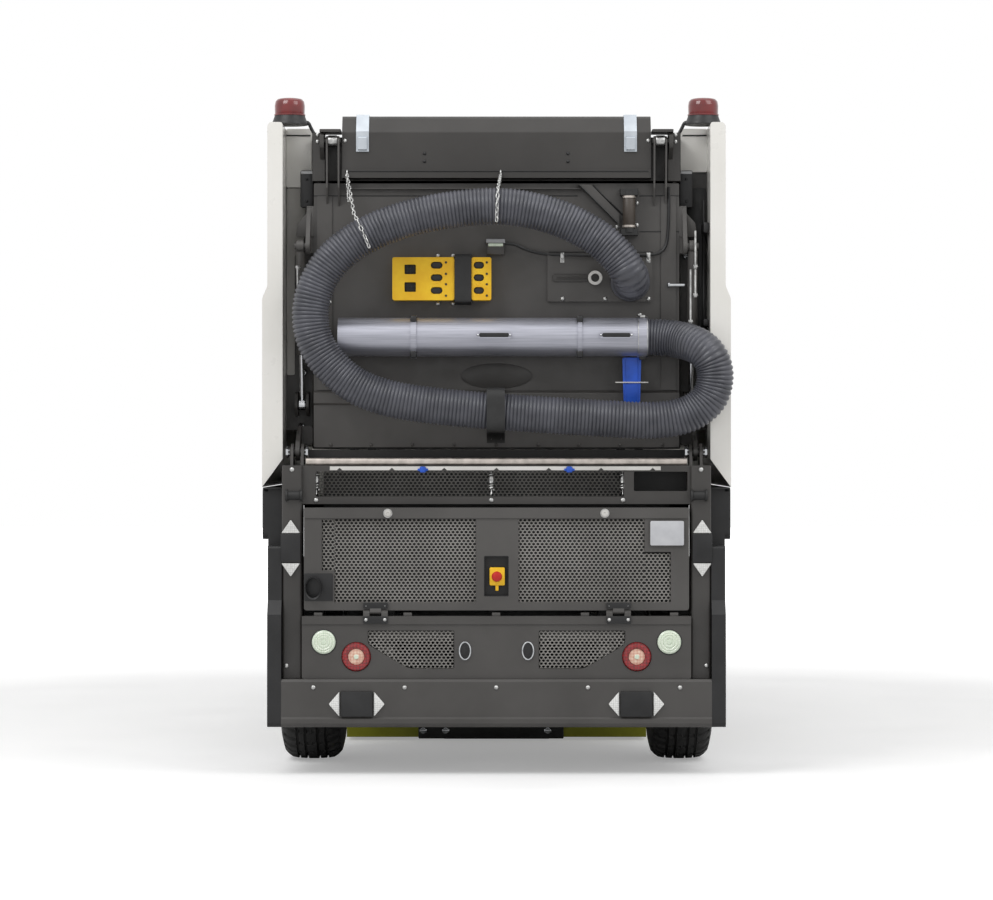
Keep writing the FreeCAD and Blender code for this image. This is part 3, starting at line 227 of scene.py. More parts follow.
wheelTags = ("front_left", "front_right", "rear_left", "rear_right")
nodesOf = {
    "blackEnamel": ["chassis_frame", "vent_mesh", "rear_axle", "front_axle", "brush_arm_left",
                    "brush_arm_right", "door_lock"],
    "greyEnamelDark": ["rear_frame", "hopper_shell"],
    "greyEnamel": ["lamp_panel_mesh", "hopper_door", "door_ram_barrels", "grille_door", "grille_mesh"],
    "cowlEnamelPaintedShade": ["top_cowl"],
    "bumperEnamel": ["lamp_panel", "rear_bumper"],
    "galvanised": ["rear_ledge"],
    "whiteSteel": ["notch_bar", "tip_ram_barrels"],
    "castIron": ["engine_block", "knuckle_left", "knuckle_right"],
    "flapRubber": ["radiator", "nozzle_flaps"],
    "paleLens": ["rear_lamps", "headlamps"],
    "blackPlastic": ["marker_lamps", "side_skirts", "dashboard", "mirrors", "suction_duct"],
    "whiteGelcoat": ["cab_shell", "cab_door_left", "cab_door_right", "side_panels"],
    "glazing": ["cab_glass", "door_glass_left", "door_glass_right"],
    "seatCloth": ["seats"],
    "limeEnamel": ["suction_nozzle"],
    "bristle": ["brush_left", "brush_right"],
    "satinSteel": ["cowl_latches"],
    "redDome": ["beacons"],
    "aluminium": ["suction_tube"],
    "yellowPlastic": ["wheel_chocks", "emergency_stop"],
    "chromedRod": ["tip_ram_rods", "door_ram_rods"],
    "zinc": ["door_fittings"],
    "hoseVinyl": ["wander_hose"],
    "tyreRubber": ["tyre_" + tag for tag in wheelTags],
    "silverEnamel": ["rim_" + tag for tag in wheelTags],
}
for finish, nodes in nodesOf.items():
    for node in nodes:
        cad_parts[node].data.materials.clear()
        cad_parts[node].data.materials.append(finishes[finish])


# Shapes: each function returns a mesh, from sizes in mm

def meshFrom(bm, name="shape"):
    mesh = bpy.data.meshes.new(name)
    bm.to_mesh(mesh)
    bm.free()
    return mesh


def evaluatedMesh(holder):
    bpy.context.view_layer.update()
    return bpy.data.meshes.new_from_object(holder.evaluated_get(bpy.context.evaluated_depsgraph_get()))


def vertsIn(geometry):
    return [v for v in geometry if isinstance(v, bmesh.types.BMVert)]


def bevelEdges(bm, edges, width, segments=2):
    if width:
        bmesh.ops.bevel(bm, geom=edges, offset=width * mm, affect="EDGES", segments=segments, profile=0.5,
                        material=-1)


def turnedShape(outline, steps=24):
    # outline is (radius, height) from the bottom of the axis to its top
    bm = bmesh.new()
    verts = [bm.verts.new((r * mm, 0, h * mm)) for r, h in outline]
    edges = [bm.edges.new(pair) for pair in zip(verts, verts[1:])]
    bmesh.ops.spin(bm, geom=verts + edges, cent=(0, 0, 0), axis=(0, 0, 1), angle=math.tau,
                   steps=steps, use_merge=True)
    bmesh.ops.remove_doubles(bm, verts=bm.verts, dist=1e-6)
    bmesh.ops.recalc_face_normals(bm, faces=bm.faces)
    return meshFrom(bm)


def blockShape(low, high, bevel=2.0, segments=2):
    bm = bmesh.new()
    bmesh.ops.create_cube(bm, size=1)
    bmesh.ops.scale(bm, vec=at(*[h - l for l, h in zip(low, high)]), verts=bm.verts)
    bmesh.ops.translate(bm, vec=at(*[(h + l) / 2 for l, h in zip(low, high)]), verts=bm.verts)
    bevelEdges(bm, bm.edges[:], bevel, segments)
    return meshFrom(bm)


def plateShape(corners, plane, low, high, bevel=0.0):
    # a plate drawn on plane "XZ" or "YZ" that runs from low to high across it
    across = Vector({"XZ": forward, "YZ": right}[plane])
    bm = bmesh.new()
    face = bm.faces.new([bm.verts.new(at(u, low, v) if plane == "XZ" else at(low, u, v)) for u, v in corners])
    grown = bmesh.ops.extrude_face_region(bm, geom=[face])
    bmesh.ops.translate(bm, vec=across * (high - low) * mm, verts=vertsIn(grown["geom"]))
    ends = [f for f in bm.faces if abs(f.normal.dot(across)) > 0.99]
    bevelEdges(bm, list({e for f in ends for e in f.edges}), bevel)
    bmesh.ops.recalc_face_normals(bm, faces=bm.faces)
    return meshFrom(bm)


def curveThrough(points, smooth=True, closed=False, resolution=6):
    curve = bpy.data.curves.new("route", "CURVE")
    curve.dimensions = "3D"
    curve.resolution_u = resolution
    spline = curve.splines.new("NURBS" if smooth else "POLY")
    spline.points.add(len(points) - 1)
    for point, stop in zip(spline.points, points):
        point.co = (*at(*stop), 1)
    if smooth:
        spline.order_u = 3
        spline.use_endpoint_u = not closed
    spline.use_cyclic_u = closed
    return bpy.data.objects.new("route", curve)


def meshOfCurve(holder):
    mesh = bpy.data.meshes.new_from_object(holder)
    bpy.data.objects.remove(holder)
    return mesh


def roundBar(points, radius, closed=False, sides=10, smooth=True):
    # a bent round bar, cable or pipe
    holder = curveThrough(points, smooth, closed)
    holder.data.bevel_depth = radius * mm
    holder.data.bevel_resolution = max(1, sides // 4)
    holder.data.use_fill_caps = not closed
    return meshOfCurve(holder)


def bandShape(points, width, thickness):
    # a strap that follows points and runs to +X by its width
    bm = bmesh.new()
    bm.from_mesh(meshOfCurve(curveThrough(points, resolution=8)))
    grown = bmesh.ops.extrude_edge_only(bm, edges=bm.edges[:])
    bmesh.ops.translate(bm, vec=(width * mm, 0, 0), verts=vertsIn(grown["geom"]))
    bmesh.ops.solidify(bm, geom=bm.faces[:], thickness=thickness * mm)
    bmesh.ops.recalc_face_normals(bm, faces=bm.faces)
    return meshFrom(bm)


def springShape(length, radius, wireRadius, turns):
    angles = [math.tau * i / 8 for i in range(8 * turns + 1)]
    coil = [(radius * math.cos(a), radius * math.sin(a), length * a / math.tau / turns) for a in angles]
    return roundBar(coil, wireRadius, sides=8)


def hexBolt(size):
    bm = bmesh.new()
    for segments, radius, depth, height in ((20, size * 1.2, 1.6, 0.4), (6, size, 4.4, 3.3)):
        bmesh.ops.create_cone(bm, cap_ends=True, segments=segments, radius1=radius * mm, radius2=radius * mm,
                              depth=depth * mm, matrix=Matrix.Translation(at(0, 0, height)))
    top = max(bm.faces, key=lambda f: f.calc_center_median().z)
    bmesh.ops.inset_individual(bm, faces=[top], thickness=size * 0.18 * mm, depth=0.8 * mm)
    return meshFrom(bm)


def domeScrew(size):
    return turnedShape([(0, -1), (size, -1), (size, 0.6), (size * 0.9, 2.2), (size * 0.6, 3.6), (0, 4.2)], 16)


# Outlines

def box(x0, x1, z0, z1):
    return [(x0, z0), (x1, z0), (x1, z1), (x0, z1)]


def oval(x, z, halfX, halfZ, steps=28):
    angles = [math.tau * i / steps for i in range(steps)]
    return [(x + halfX * math.cos(a), z + halfZ * math.sin(a)) for a in angles]


def rounded(corners, radius, steps=5):
    # an outline with each corner replaced by a curve that starts and ends radius away from it
    points = []
    for before, corner, after in zip(corners[-1:] + corners, corners, corners[1:] + corners[:1]):
        here = Vector(corner)
        start = here + (Vector(before) - here).normalized() * radius
        end = here + (Vector(after) - here).normalized() * radius
        for t in [i / steps for i in range(steps + 1)]:
            points.append(tuple(start * (1 - t) ** 2 + here * 2 * t * (1 - t) + end * t ** 2))
    return points


def circle(radius, count, start=0.0):
    # (x, y) of places spread evenly round a circle, with the angle of each
    angles = [math.tau * (i + start) / count for i in range(count)]
    return [(radius * math.cos(a), radius * math.sin(a), a) for a in angles]


# Pieces: shapes are put into one bmesh, which then gets its body and finishes

def turnTo(axis):
    return Vector(up).rotation_difference(Vector(axis)).to_matrix().to_4x4()


def place(piece, shape, position=(0, 0, 0), axis=up, turn=0.0, index=0):
    # adds a copy of a shape with its z axis along axis, turned about it
    copy = shape.copy()
    copy.transform(Matrix.Translation(at(*position)) @ turnTo(axis) @ Matrix.Rotation(turn, 4, "Z"))
    for face in copy.polygons:
        face.material_index = index
    piece.from_mesh(copy)
    bpy.data.meshes.remove(copy)


def block(piece, low, high, bevel=2.0, index=0):
    place(piece, blockShape(low, high, bevel), index=index)


def rod(piece, start, end, radius, index=0):
    place(piece, roundBar([start, end], radius, smooth=False), index=index)


def panel(piece, low, high, corner=0, bevel=0.0, index=0):
    # an upright plate across the truck, its corners rounded from corner mm away
    outline = box(low[0], high[0], low[2], high[2])
    place(piece, plateShape(rounded(outline, corner) if corner else outline, "XZ", low[1], high[1], bevel),
          index=index)


def mirror(piece):
    # adds the other side's copy of all that the piece has so far
    copies = bmesh.ops.duplicate(piece, geom=piece.verts[:] + piece.edges[:] + piece.faces[:])["geom"]
    bmesh.ops.scale(piece, vec=(-1, 1, 1), verts=vertsIn(copies))
    bmesh.ops.reverse_faces(piece, faces=[f for f in copies if isinstance(f, bmesh.types.BMFace)])


def makePiece(name, bm, body, materials, replaced=(), angle=38):
    # materials are names in finishes, with spaces between them
    bmesh.ops.remove_doubles(bm, verts=bm.verts, dist=1e-6)
    mesh = meshFrom(bm, name)
    mesh.polygons.foreach_set("use_smooth", [True] * len(mesh.polygons))
    mesh.set_sharp_from_angle(angle=math.radians(angle))
    piece = bpy.data.objects.new(name, mesh)
    bpy.context.scene.collection.objects.link(piece)
    for finish in materials.split():
        mesh.materials.append(finishes[finish])
    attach(piece, body)
    if replaced:
        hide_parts(*replaced)
    return piece


@functools.cache
def surfaceOf(node):
    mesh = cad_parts[node].data
    return BVHTree.FromPolygons([v.co for v in mesh.vertices], [p.vertices[:] for p in mesh.polygons])


def faceBehind(node, x, z):
    # y in mm of the node's rearmost face at a point seen from behind
    hit = surfaceOf(node).ray_cast(at(x, -2400, z), Vector(forward))[0]
    if hit is None:
        raise ValueError(f"{node} has no face at x {x}, z {z}")
    return hit.y / mm


# Wander hose: one rib is turned, repeated along the bent route and joined

hose = {"radius": 53.7, "ribDepth": 4.4, "ribPitch": 10.8, "sides": 40, "loopY": -2042.5}
loop = [(352, 1484), (277, 1551), (146, 1611), (-19, 1636), (-264, 1598), (-432, 1520), (-521, 1414),
        (-541, 1283), (-486, 1172), (-364, 1085), (-147, 1050), (259, 1023), (500, 1010), (610, 1062),
        (634, 1155), (596, 1226)]
hoseRoute = [(388, -1913.3, 1418), (388, -1998, 1418), (382, -2040, 1434)]
hoseRoute += [(x, hose["loopY"], z) for x, z in loop] + [(505, -1968, 1256), (436.3, -1968, 1256)]


def ribbedHose():
    path = curveThrough(hoseRoute, resolution=24)
    pitch, depth, radius = hose["ribPitch"], hose["ribDepth"], hose["radius"]
    rib = turnedShape([(radius - depth, 0), (radius - 0.35 * depth, 0.2 * pitch), (radius, 0.45 * pitch),
                       (radius - 0.3 * depth, 0.72 * pitch), (radius - depth, pitch)], hose["sides"])
    rib.transform(turnTo(right))
    rib.flip_normals()
    ribs = bpy.data.objects.new("ribs", rib)
    for holder in (path, ribs):
        bpy.context.scene.collection.objects.link(holder)
    row = ribs.modifiers.new("row", "ARRAY")
    row.fit_type = "FIT_CURVE"
    row.curve = path
    row.use_relative_offset = False
    row.use_constant_offset = True
    row.constant_offset_displace = (pitch * mm, 0, 0)
    row.use_merge_vertices = True
    row.merge_threshold = 0.2 * mm
    bend = ribs.modifiers.new("bend", "CURVE")
    bend.object = path
    bend.deform_axis = "POS_X"
    bm = bmesh.new()
    bm.from_mesh(evaluatedMesh(ribs))
    for holder in (path, ribs):
        bpy.data.objects.remove(holder)
    return bm


piece = ribbedHose()
place(piece, turnedShape([(49, -2), (57, -2), (57, 24), (55, 28), (49, 28)], 40), (388, -1912, 1418), rearward)
bmesh.ops.recalc_face_normals(piece, faces=piece.faces)
makePiece("ribbedHose", piece, "lid_body", "hoseVinyl", ["wander_hose"], angle=70)
print("hose made")


# Punched sheets: hexagonal holes in rows, cut to each window

punched = {"pitch": 12.35, "rowStep": 8.55, "land": 1.7, "thickness": 1.5}


def punchedCell():
    # one hexagon with its middle taken out, standing upright and stretched to the row step
    cell = bmesh.new()
    bmesh.ops.create_circle(cell, cap_ends=True, radius=punched["pitch"] / math.sqrt(3) * mm, segments=6)
    bmesh.ops.inset_individual(cell, faces=cell.faces[:], thickness=punched["land"] * mm, use_even_offset=True)
    hole = min(cell.faces, key=lambda f: f.calc_center_median().length)
    bmesh.ops.delete(cell, geom=[hole], context="FACES_ONLY")
    mesh = meshFrom(cell)
    stretch = punched["rowStep"] / (punched["pitch"] * math.sqrt(3) / 2)
    mesh.transform(Matrix.Diagonal((1, 1, stretch, 1)) @ Matrix.Rotation(math.radians(90), 4, "X")
                   @ Matrix.Rotation(math.radians(30), 4, "Z"))
    return mesh


def sheetPiece(name, windows, body, node):
    # windows are convex outlines on (x, z), on the rear face of the mesh node
    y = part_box(node)[0].y / mm + 1
    pitch, rowStep = punched["pitch"], punched["rowStep"]
    cell = punchedCell()
    bm = bmesh.new()
    for corners in windows:
        xs, zs = zip(*corners)
        part = bmesh.new()
        for row in range(int((max(zs) - min(zs)) / rowStep) + 3):
            for column in range(int((max(xs) - min(xs)) / pitch) + 3):
                x = min(xs) + (column + 0.5 * (row % 2) - 0.5) * pitch
                place(part, cell, (x, y, min(zs) + (row - 0.5) * rowStep))
        bmesh.ops.remove_doubles(part, verts=part.verts, dist=0.05 * mm)
        centre = Vector((sum(xs) / len(xs), 0, sum(zs) / len(zs)))
        for (x0, z0), (x1, z1) in zip(corners, corners[1:] + corners[:1]):
            normal = Vector((z1 - z0, 0, x0 - x1))
            if normal.dot(centre - Vector((x0, 0, z0))) > 0:
                normal.negate()
            bmesh.ops.bisect_plane(part, geom=part.verts[:] + part.edges[:] + part.faces[:],
                                   plane_co=at(x0, y, z0), plane_no=normal, clear_outer=True)
        bm.from_mesh(meshFrom(part))
    for face in bm.faces:
        if face.normal.y > 0:
            face.normal_flip()
    piece = makePiece(name, bm, body, "punchedSteel", [node])
    wall = piece.modifiers.new("thickness", "SOLIDIFY")
    wall.thickness = punched["thickness"] * mm
    wall.offset = -1


sheetPiece("grillePunchedSheet", [box(-464, -59, 494, 732), box(-500, -464, 585, 732), box(63, 424, 494, 732),
                                  box(424, 499, 494, 635)], "grille_body", "grille_mesh")
sheetPiece("ventPunchedSheet", [box(-519, 366, 779, 870)], "chassis", "vent_mesh")
lampSheet = [(-367, 413), (-367, 376), (-350, 364), (-290, 327), (-265, 312), (-235, 306), (-122, 306),
             (-122, 413)]
sheetPiece("lampPanelPunchedSheet", [lampSheet, [(-x, z) for x, z in reversed(lampSheet)]], "chassis",
           "lamp_panel_mesh")
print("punched sheets made")


# Bolts, each with its head on the face behind it

def boltRow(name, node, body, size, places, finish="zinc"):
    piece = bmesh.new()
    for x, z in places:
        spot = (x, faceBehind(node, x, z), z)
        place(piece, domeScrew(size), spot, rearward, turn=math.radians((x * 7) % 60))
    makePiece(name, piece, body, finish)


boltRow("bumperBolts", "rear_bumper", "chassis", 6.5, [(x, 252) for x in (-523, -262, -1, 261, 524)])
boltRow("postBolts", "rear_frame", "chassis", 7, [(-602, 312), (602, 312), (-586, 874), (586, 874)])
boltRow("ventBolts", "rear_frame", "chassis", 7, [(x, 786) for x in (-518, -15, 363)])
boltRow("lidEdgeBolts", "hopper_door", "lid_body", 5,
        [(x, 945) for x in (-481, -364, -244, -123, -1, 121, 239, 360, 482)], "greyEnamel")
boltRow("lidBolts", "hopper_door", "lid_body", 6.5,
        [(-485, 1360), (417, 1323), (192, 1369), (316, 1369), (441, 1369), (-170, 1494), (-126, 1494),
         (-170, 1356), (-126, 1356), (408, 1648), (408, 1584), (352, 1579)])
boltRow("cowlScrews", "top_cowl", "hopper_body", 6, [(-440, 1827), (440, 1827)])
boltRow("postScrews", "hopper_shell", "hopper_body", 6, [(x, z) for x in (-520, 520) for z in (1846, 1826)])
boltRow("cowlPlugs", "top_cowl", "hopper_body", 5, [(x, z) for x in (-209, 207) for z in (1790, 1767)],
        "blackPlastic")
hingeBolts = (-373, -319, 322, 376)
boltRow("hatchHingeBolts", "grille_door", "grille_body", 5.5, [(x, 484) for x in hingeBolts])
boltRow("lampHingeBolts", "lamp_panel", "chassis", 5.5, [(x, 445) for x in hingeBolts])
print("bolts made")


# Chains over the hose, their hooks, the strap, the blue flap

chain = {"pitch": 13.6, "length": 18, "width": 12, "wire": 1.8}
chainRuns = [[(-433, -1940, 1728), (-408, -2062, 1606), (-392, -2097, 1574), (-378, -2102, 1545),
              (-364, -2102, 1510)],
             [(-433, -1940, 1728), (-427, -1947, 1650)],
             [(12, -1940, 1728), (8, -2045, 1698), (4, -2093, 1675), (2, -2102.2, 1632), (0, -2102.2, 1578)]]
halfLength, halfWidth = chain["length"] / 2 - chain["wire"], chain["width"] / 2 - chain["wire"]
ring = rounded(box(-halfLength, halfLength, -halfWidth, halfWidth), halfWidth * 0.95, 2)
link = roundBar([(x, y, 0) for x, y in ring], chain["wire"], closed=True, sides=8, smooth=False)
link.transform(Matrix.Rotation(math.radians(90), 4, "Y"))
piece = bmesh.new()
for stops in chainRuns:
    travelled = chain["pitch"] / 2
    count = 0
    for start, end in zip(stops, stops[1:]):
        run = Vector(end) - Vector(start)
        while travelled < run.length:
            spot = Vector(start) + run.normalized() * travelled
            place(piece, link, spot, run, turn=math.radians(45 if count % 2 else -45))
            travelled += chain["pitch"]
            count += 1
        travelled -= run.length
makePiece("hoseChains", piece, "lid_body", "zinc", ["wander_hose"], angle=60)

hookSide = [(-1900, 1660), (-1900, 1700), (-1936, 1712), (-1936, 1736), (-1941, 1736), (-1941, 1706),
            (-1906, 1690), (-1906, 1660)]
piece = bmesh.new()
for x in (-433, 12):
    place(piece, plateShape(hookSide, "YZ", x - 2, x + 2, 0.6))
    place(piece, roundBar([(x, -1938.5, 1728), (x, -1938.5, 1741), (x, -1930, 1741)], 2.2))
makePiece("chainHooks", piece, "lid_body", "zinc", ["wander_hose"])

strapSide = [(-1901, 1106.5), (-2050, 1106.5), (-2099.8, 1104), (-2099.8, 1043), (-2099.8, 984), (-2050, 983),
             (-1907, 983), (-1906.5, 951)]
piece = bmesh.new()
place(piece, bandShape([(-28, y, z) for y, z in strapSide], 52, 2.4))
for x in (-20, -2, 16):
    rod(piece, (x, -1907.5, 955), (x, -1907.5, 981), 1.4)
for x in (-15, 14):
    place(piece, domeScrew(5.5), (x, -1908.5, 965), rearward, index=1)
makePiece("hoseStrap", piece, "lid_body", "flapRubber zinc", ["wander_hose"])

piece = bmesh.new()
flap = rounded([(363, 1197), (418, 1197), (415, 1066), (367, 1066)], 7)
place(piece, plateShape(flap, "XZ", -1971, -1965.5, 1.2))
for x in (372, 408):
    rod(piece, (x, -1971.4, 1192), (x, -1971.4, 1072), 1.3)
rod(piece, (343, -1973, 1125), (438, -1973, 1125), 1.8, index=1)
makePiece("blueFlap", piece, "lid_body", "blueRubber whiteSteel", ["wander_hose"])
print("chains and straps made")


# Suction tube: slot inserts, clamp rubbers, collar screw

tube = {"y": -1968, "z": 1256}
piece = bmesh.new()
for x0, x1 in ((-58, 44), (295, 393)):
    panel(piece, (x0 + 9, -2035, 1254), (x1 - 9, -2033, 1266), 4, 0.5)
    for x in (x0 + 5, x1 - 5):
        place(piece, domeScrew(4), (x, -2034, 1260), rearward, index=1)
for x in (-239, 240):
    for z in (tube["z"] - 50, tube["z"] + 50):
        block(piece, (x - 9, -2014, z - 11), (x + 9, -1950, z + 11), 5)
        rod(piece, (x, tube["y"], z), (x, -1902, z), 5)
block(piece, (412, -1984, 1190), (430, -1956, 1203), 2)
makePiece("tubeInserts", piece, "lid_body", "blackPlastic chromePlastic")
piece = bmesh.new()
place(piece, hexBolt(8), (421, -1984, 1313))
rod(piece, (414, -1984, 1309), (428, -1984, 1309), 5)
for x in (408, 434):
    place(piece, turnedShape([(58.6, -1), (60, -1), (60, 1), (58.6, 1), (58.6, -1)], 48),
          (x, tube["y"], tube["z"]), right)
makePiece("tubeCollarScrew", piece, "lid_body", "zinc")


# Lid: inlet ring, lever, cable with its clips, lamp box, bare plate, crease shade lines, chock strap, hinges,
# lock

piece = bmesh.new()
place(piece, turnedShape([(12, -3), (20.6, -3), (20.6, 1), (18, 2.6), (13.5, 2.6), (12, 1), (12, -3)], 32),
      (286, -1935, 1429), rearward)
makePiece("inletRing", piece, "lid_body", "whiteSteel")
piece = bmesh.new()
panel(piece, (162, -1919, 1418), (268, -1912, 1440), 9, 2)
rod(piece, (176, -1921, 1429), (258, -1921, 1429), 3)
place(piece, plateShape(oval(0, 1145, 104, 36.5, 48), "XZ", -1903, -1899, 1.2))
makePiece("lidLeverAndBarePlate", piece, "lid_body", "greyEnamelDark")

cable = [(500, -1907, 1694), (501, -1907, 1640), (499, -1907, 1570), (494, -1908, 1520), (470, -1912, 1499),
         (441, -1918, 1496), (320, -1918, 1495), (191, -1918, 1496), (130, -1906, 1499), (80, -1906, 1514),
         (50, -1910, 1530), (22, -1914, 1530)]
piece = bmesh.new()
place(piece, roundBar(cable, 4.2))
makePiece("lampCable", piece, "lid_body", "blackPlastic")
piece = bmesh.new()
for x in (191, 441):
    block(piece, (x - 6, -1924.5, 1486), (x + 6, -1912, 1503), 3)
    place(piece, domeScrew(4.5), (x, -1913, 1480), rearward)
    block(piece, (x - 6, -1915, 1474), (x + 6, -1912, 1490), 1)
makePiece("cableClips", piece, "lid_body", "zinc")
piece = bmesh.new()
block(piece, (-28, -1936, 1496), (23, -1899, 1531), 3)
block(piece, (-30, -1942, 1530), (25, -1899, 1541), 2, index=1)
block(piece, (-24, -1940, 1520), (19, -1934, 1529), 1.5, index=2)
makePiece("plateLampBox", piece, "lid_body", "greyEnamel silverEnamel paleLens")

# black lines along the lid's folds and along the strut's edges: painted shade in the creases
piece = bmesh.new()
for x0, x1, y, z in ((416, 531, -1900.4, 1669), (416, 531, -1900.4, 1565), (-531, 236, -1900.4, 1669),
                     (152, 454, -1905, 1505)):
    rod(piece, (x0, y, z), (x1, y, z), 1.5)
for strutEdge in ([(241, 1699), (352, 1588)], [(281, 1699), (366, 1614)]):
    rod(piece, *[(x, faceBehind("hopper_door", x, z) - 1, z) for x, z in strutEdge], 2.6)
makePiece("lidCreaseShadeLines", piece, "lid_body", "blackPlastic")
piece = bmesh.new()
rod(piece, (503, -1911, 1409), (546, -1911, 1409), 4.5)
place(piece, turnedShape([(0, 0), (8, 0), (8, 5), (6, 7), (0, 7)], 20), (503, -1911, 1409), left)
makePiece("lidSidePin", piece, "lid_body", "chromePlastic")

strapSide = [(-1902, 1496), (-1964, 1497), (-1966, 1480), (-1966, 1370), (-1964, 1353), (-1902, 1354)]
piece = bmesh.new()
place(piece, bandShape([(-121, y, z) for y, z in strapSide], 48, 2.2))
for z in (1401, 1452):
    block(piece, (-265.7, -1955, z - 13.7), (-233.3, -1940, z + 13.7), 1)
    for step in (-8, 0, 8):
        rod(piece, (-265, -1956, z + step), (-234, -1956, z + step), 1.4)
        rod(piece, (-249.5 + step, -1956, z - 13), (-249.5 + step, -1956, z + 13), 1.4)
for z in (1391, 1428, 1464):
    for x, half in ((-173, 16.6), (-51, 14.6)):
        place(piece, plateShape(oval(x, z, half, 9.7), "XZ", -1958, -1945, 1))
makePiece("chockStrap", piece, "lid_body", "flapRubber")
piece = bmesh.new()
stud = turnedShape([(0, 0), (3.4, 0), (3.4, 1.2), (0, 1.6)], 12)
for z in (1376, 1409, 1439, 1472):
    for x in (-146, -28):
        place(piece, stud, (x, -1962, z), rearward)
makePiece("chockStuds", piece, "lid_body", "blackPlastic")
piece = bmesh.new()
place(piece, turnedShape([(13.1, -12.5), (14.6, -12.5), (15.2, -11), (15.2, 11), (14.6, 12.5), (13.1, 12.5),
                          (13.1, -12.5)], 32), (475, -1930, 1827), right)
mirror(piece)
makePiece("lidHingeSleeves", piece, "lid_body", "zinc")
piece = bmesh.new()
gusset = [(531, 1641), (578, 1590), (584, 1549), (531, 1549)]
place(piece, plateShape(rounded(gusset, 6), "XZ", -1901, -1897, 1))
mirror(piece)
railSide = [(-1900, 1688), (-1914, 1688), (-1914, 1691), (-1903, 1692), (-1903, 1703), (-1900, 1703)]
place(piece, plateShape(railSide, "YZ", -440, 246, 0.4))
makePiece("lidRailAndGussets", piece, "lid_body", "greyEnamel")
piece = bmesh.new()
place(piece, turnedShape([(0, 0), (18.4, 0), (18.4, 4), (17, 6), (18.2, 8), (18.2, 86), (17, 88), (18.4, 90),
                          (18.4, 94), (0, 94)], 32), (384, -1935, 1572.5))
for z in (1575, 1660):
    place(piece, turnedShape([(18, 0), (19.6, 0), (19.6, 6), (18, 6), (18, 0)], 32), (384, -1935, z), index=1)
makePiece("lockBarrel", piece, "lid_body", "brownOxide galvanised")
print("lid dressed")


# Hopper corners: hose boxes, ram pipes, pivots, linings, side brackets

piece = bmesh.new()
panel(piece, (535, -1868, 1638), (572, -1861.5, 1745), 5, 1.5)
block(piece, (537, -1869.5, 1735), (570, -1867, 1743), 0.8, index=1)
for z in (1655, 1720):
    place(piece, domeScrew(4), (553, -1868, z), rearward)
mirror(piece)
makePiece("hoseBoxes", piece, "hopper_body", "blackPlastic silverEnamel")

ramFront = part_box("door_ram_barrels")[0].y / mm - 5
piece = bmesh.new()
for x, z0, z1 in ((574, 1563, 1466), (574, 1451, 1381), (560, 1451, 1303), (-574, 1451, 1381)):
    rod(piece, (x, ramFront, z0), (x, ramFront, z1), 3.2)
for x, z in ((574, 1459), (560, 1300), (574, 1376), (-574, 1376), (-574, 1456)):
    place(piece, hexBolt(7), (x, ramFront, z))
    block(piece, (x - 5, ramFront, z - 5), (x + 5, ramFront + 12, z + 5), 1)
makePiece("ramPipes", piece, "lid_barrels", "zinc")

pin = turnedShape([(0, 0), (13, 0), (13, 4), (17, 4), (17, 10), (12, 12), (0, 12)], 6)
piece = bmesh.new()
place(piece, pin, (596, -1985, 924), right)
place(piece, pin, (553, -1985, 924), left)
mirror(piece)
makePiece("tipPinNuts", piece, "chassis", "chromePlastic")

piece = bmesh.new()
panel(piece, (-616.5, -1812, 1700), (-541, -1800, 1872), 6, 1)
makePiece("leftInnerPlate", piece, "hopper_body", "whiteGelcoat")
# the right copy is black enamel: a dark sheet painted as the shade in the right-hand gap; the left copy is pale
# grey
for side, tag, finish in ((-1, "left", "liningGrey"), (1, "right", "blackEnamel")):
    lining = [(616, 1150), (616, 1698), (560, 1698), (560, 1560), (592, 1500), (592, 1150)]
    piece = bmesh.new()
    place(piece, plateShape(rounded([(side * x, z) for x, z in lining], 6), "XZ", -1804, -1799, 1))
    makePiece(tag + "Lining", piece, "hopper_body", finish)
piece = bmesh.new()
for x, z, r in ((-567, 1156, 13), (-567, 1061, 15), (-571, 1000, 11), (566, 1061, 15), (556, 1500, 12)):
    nut = turnedShape([(0, 0), (r, 0), (r, 8), (r * 0.75, 13), (r * 0.7, 20), (0, 20)], 6)
    stub = turnedShape([(0, 20), (r * 0.5, 20), (r * 0.5, 30), (r * 0.4, 32), (0, 32)], 20)
    place(piece, nut, (x, -1800, z), rearward)
    place(piece, stub, (x, -1800, z), rearward)
makePiece("liningNuts", piece, "hopper_body", "chromePlastic")
piece = bmesh.new()
block(piece, (600, -1940, 1560), (616.5, -1815, 1590), 3)
block(piece, (600, -1930, 1290), (616.5, -1815, 1310), 3)
place(piece, roundBar([(606, -1880, 1180), (606, -1880, 1300), (606, -1850, 1420), (606, -1850, 1660)], 5))
makePiece("sideBracketsAndPipes", piece, "hopper_body", "blackPlastic")
# a thin black bar across the cowl at Z 1738: a painted shadow line under its crease, so the band down to the
# rail reads as a step
piece = bmesh.new()
rod(piece, (-440, -1931, 1738), (440, -1931, 1738), 1.5)
makePiece("cowlCreaseShadowLine", piece, "hopper_body", "blackPlastic")
piece = bmesh.new()
rod(piece, (545, -1812.5, 1852), (616, -1812.5, 1852), 2.2)
mirror(piece)
makePiece("innerPlateSeams", piece, "hopper_body", "blackPlastic")


# Beacons: rubber foot, red dome with a ribbed skirt, cable

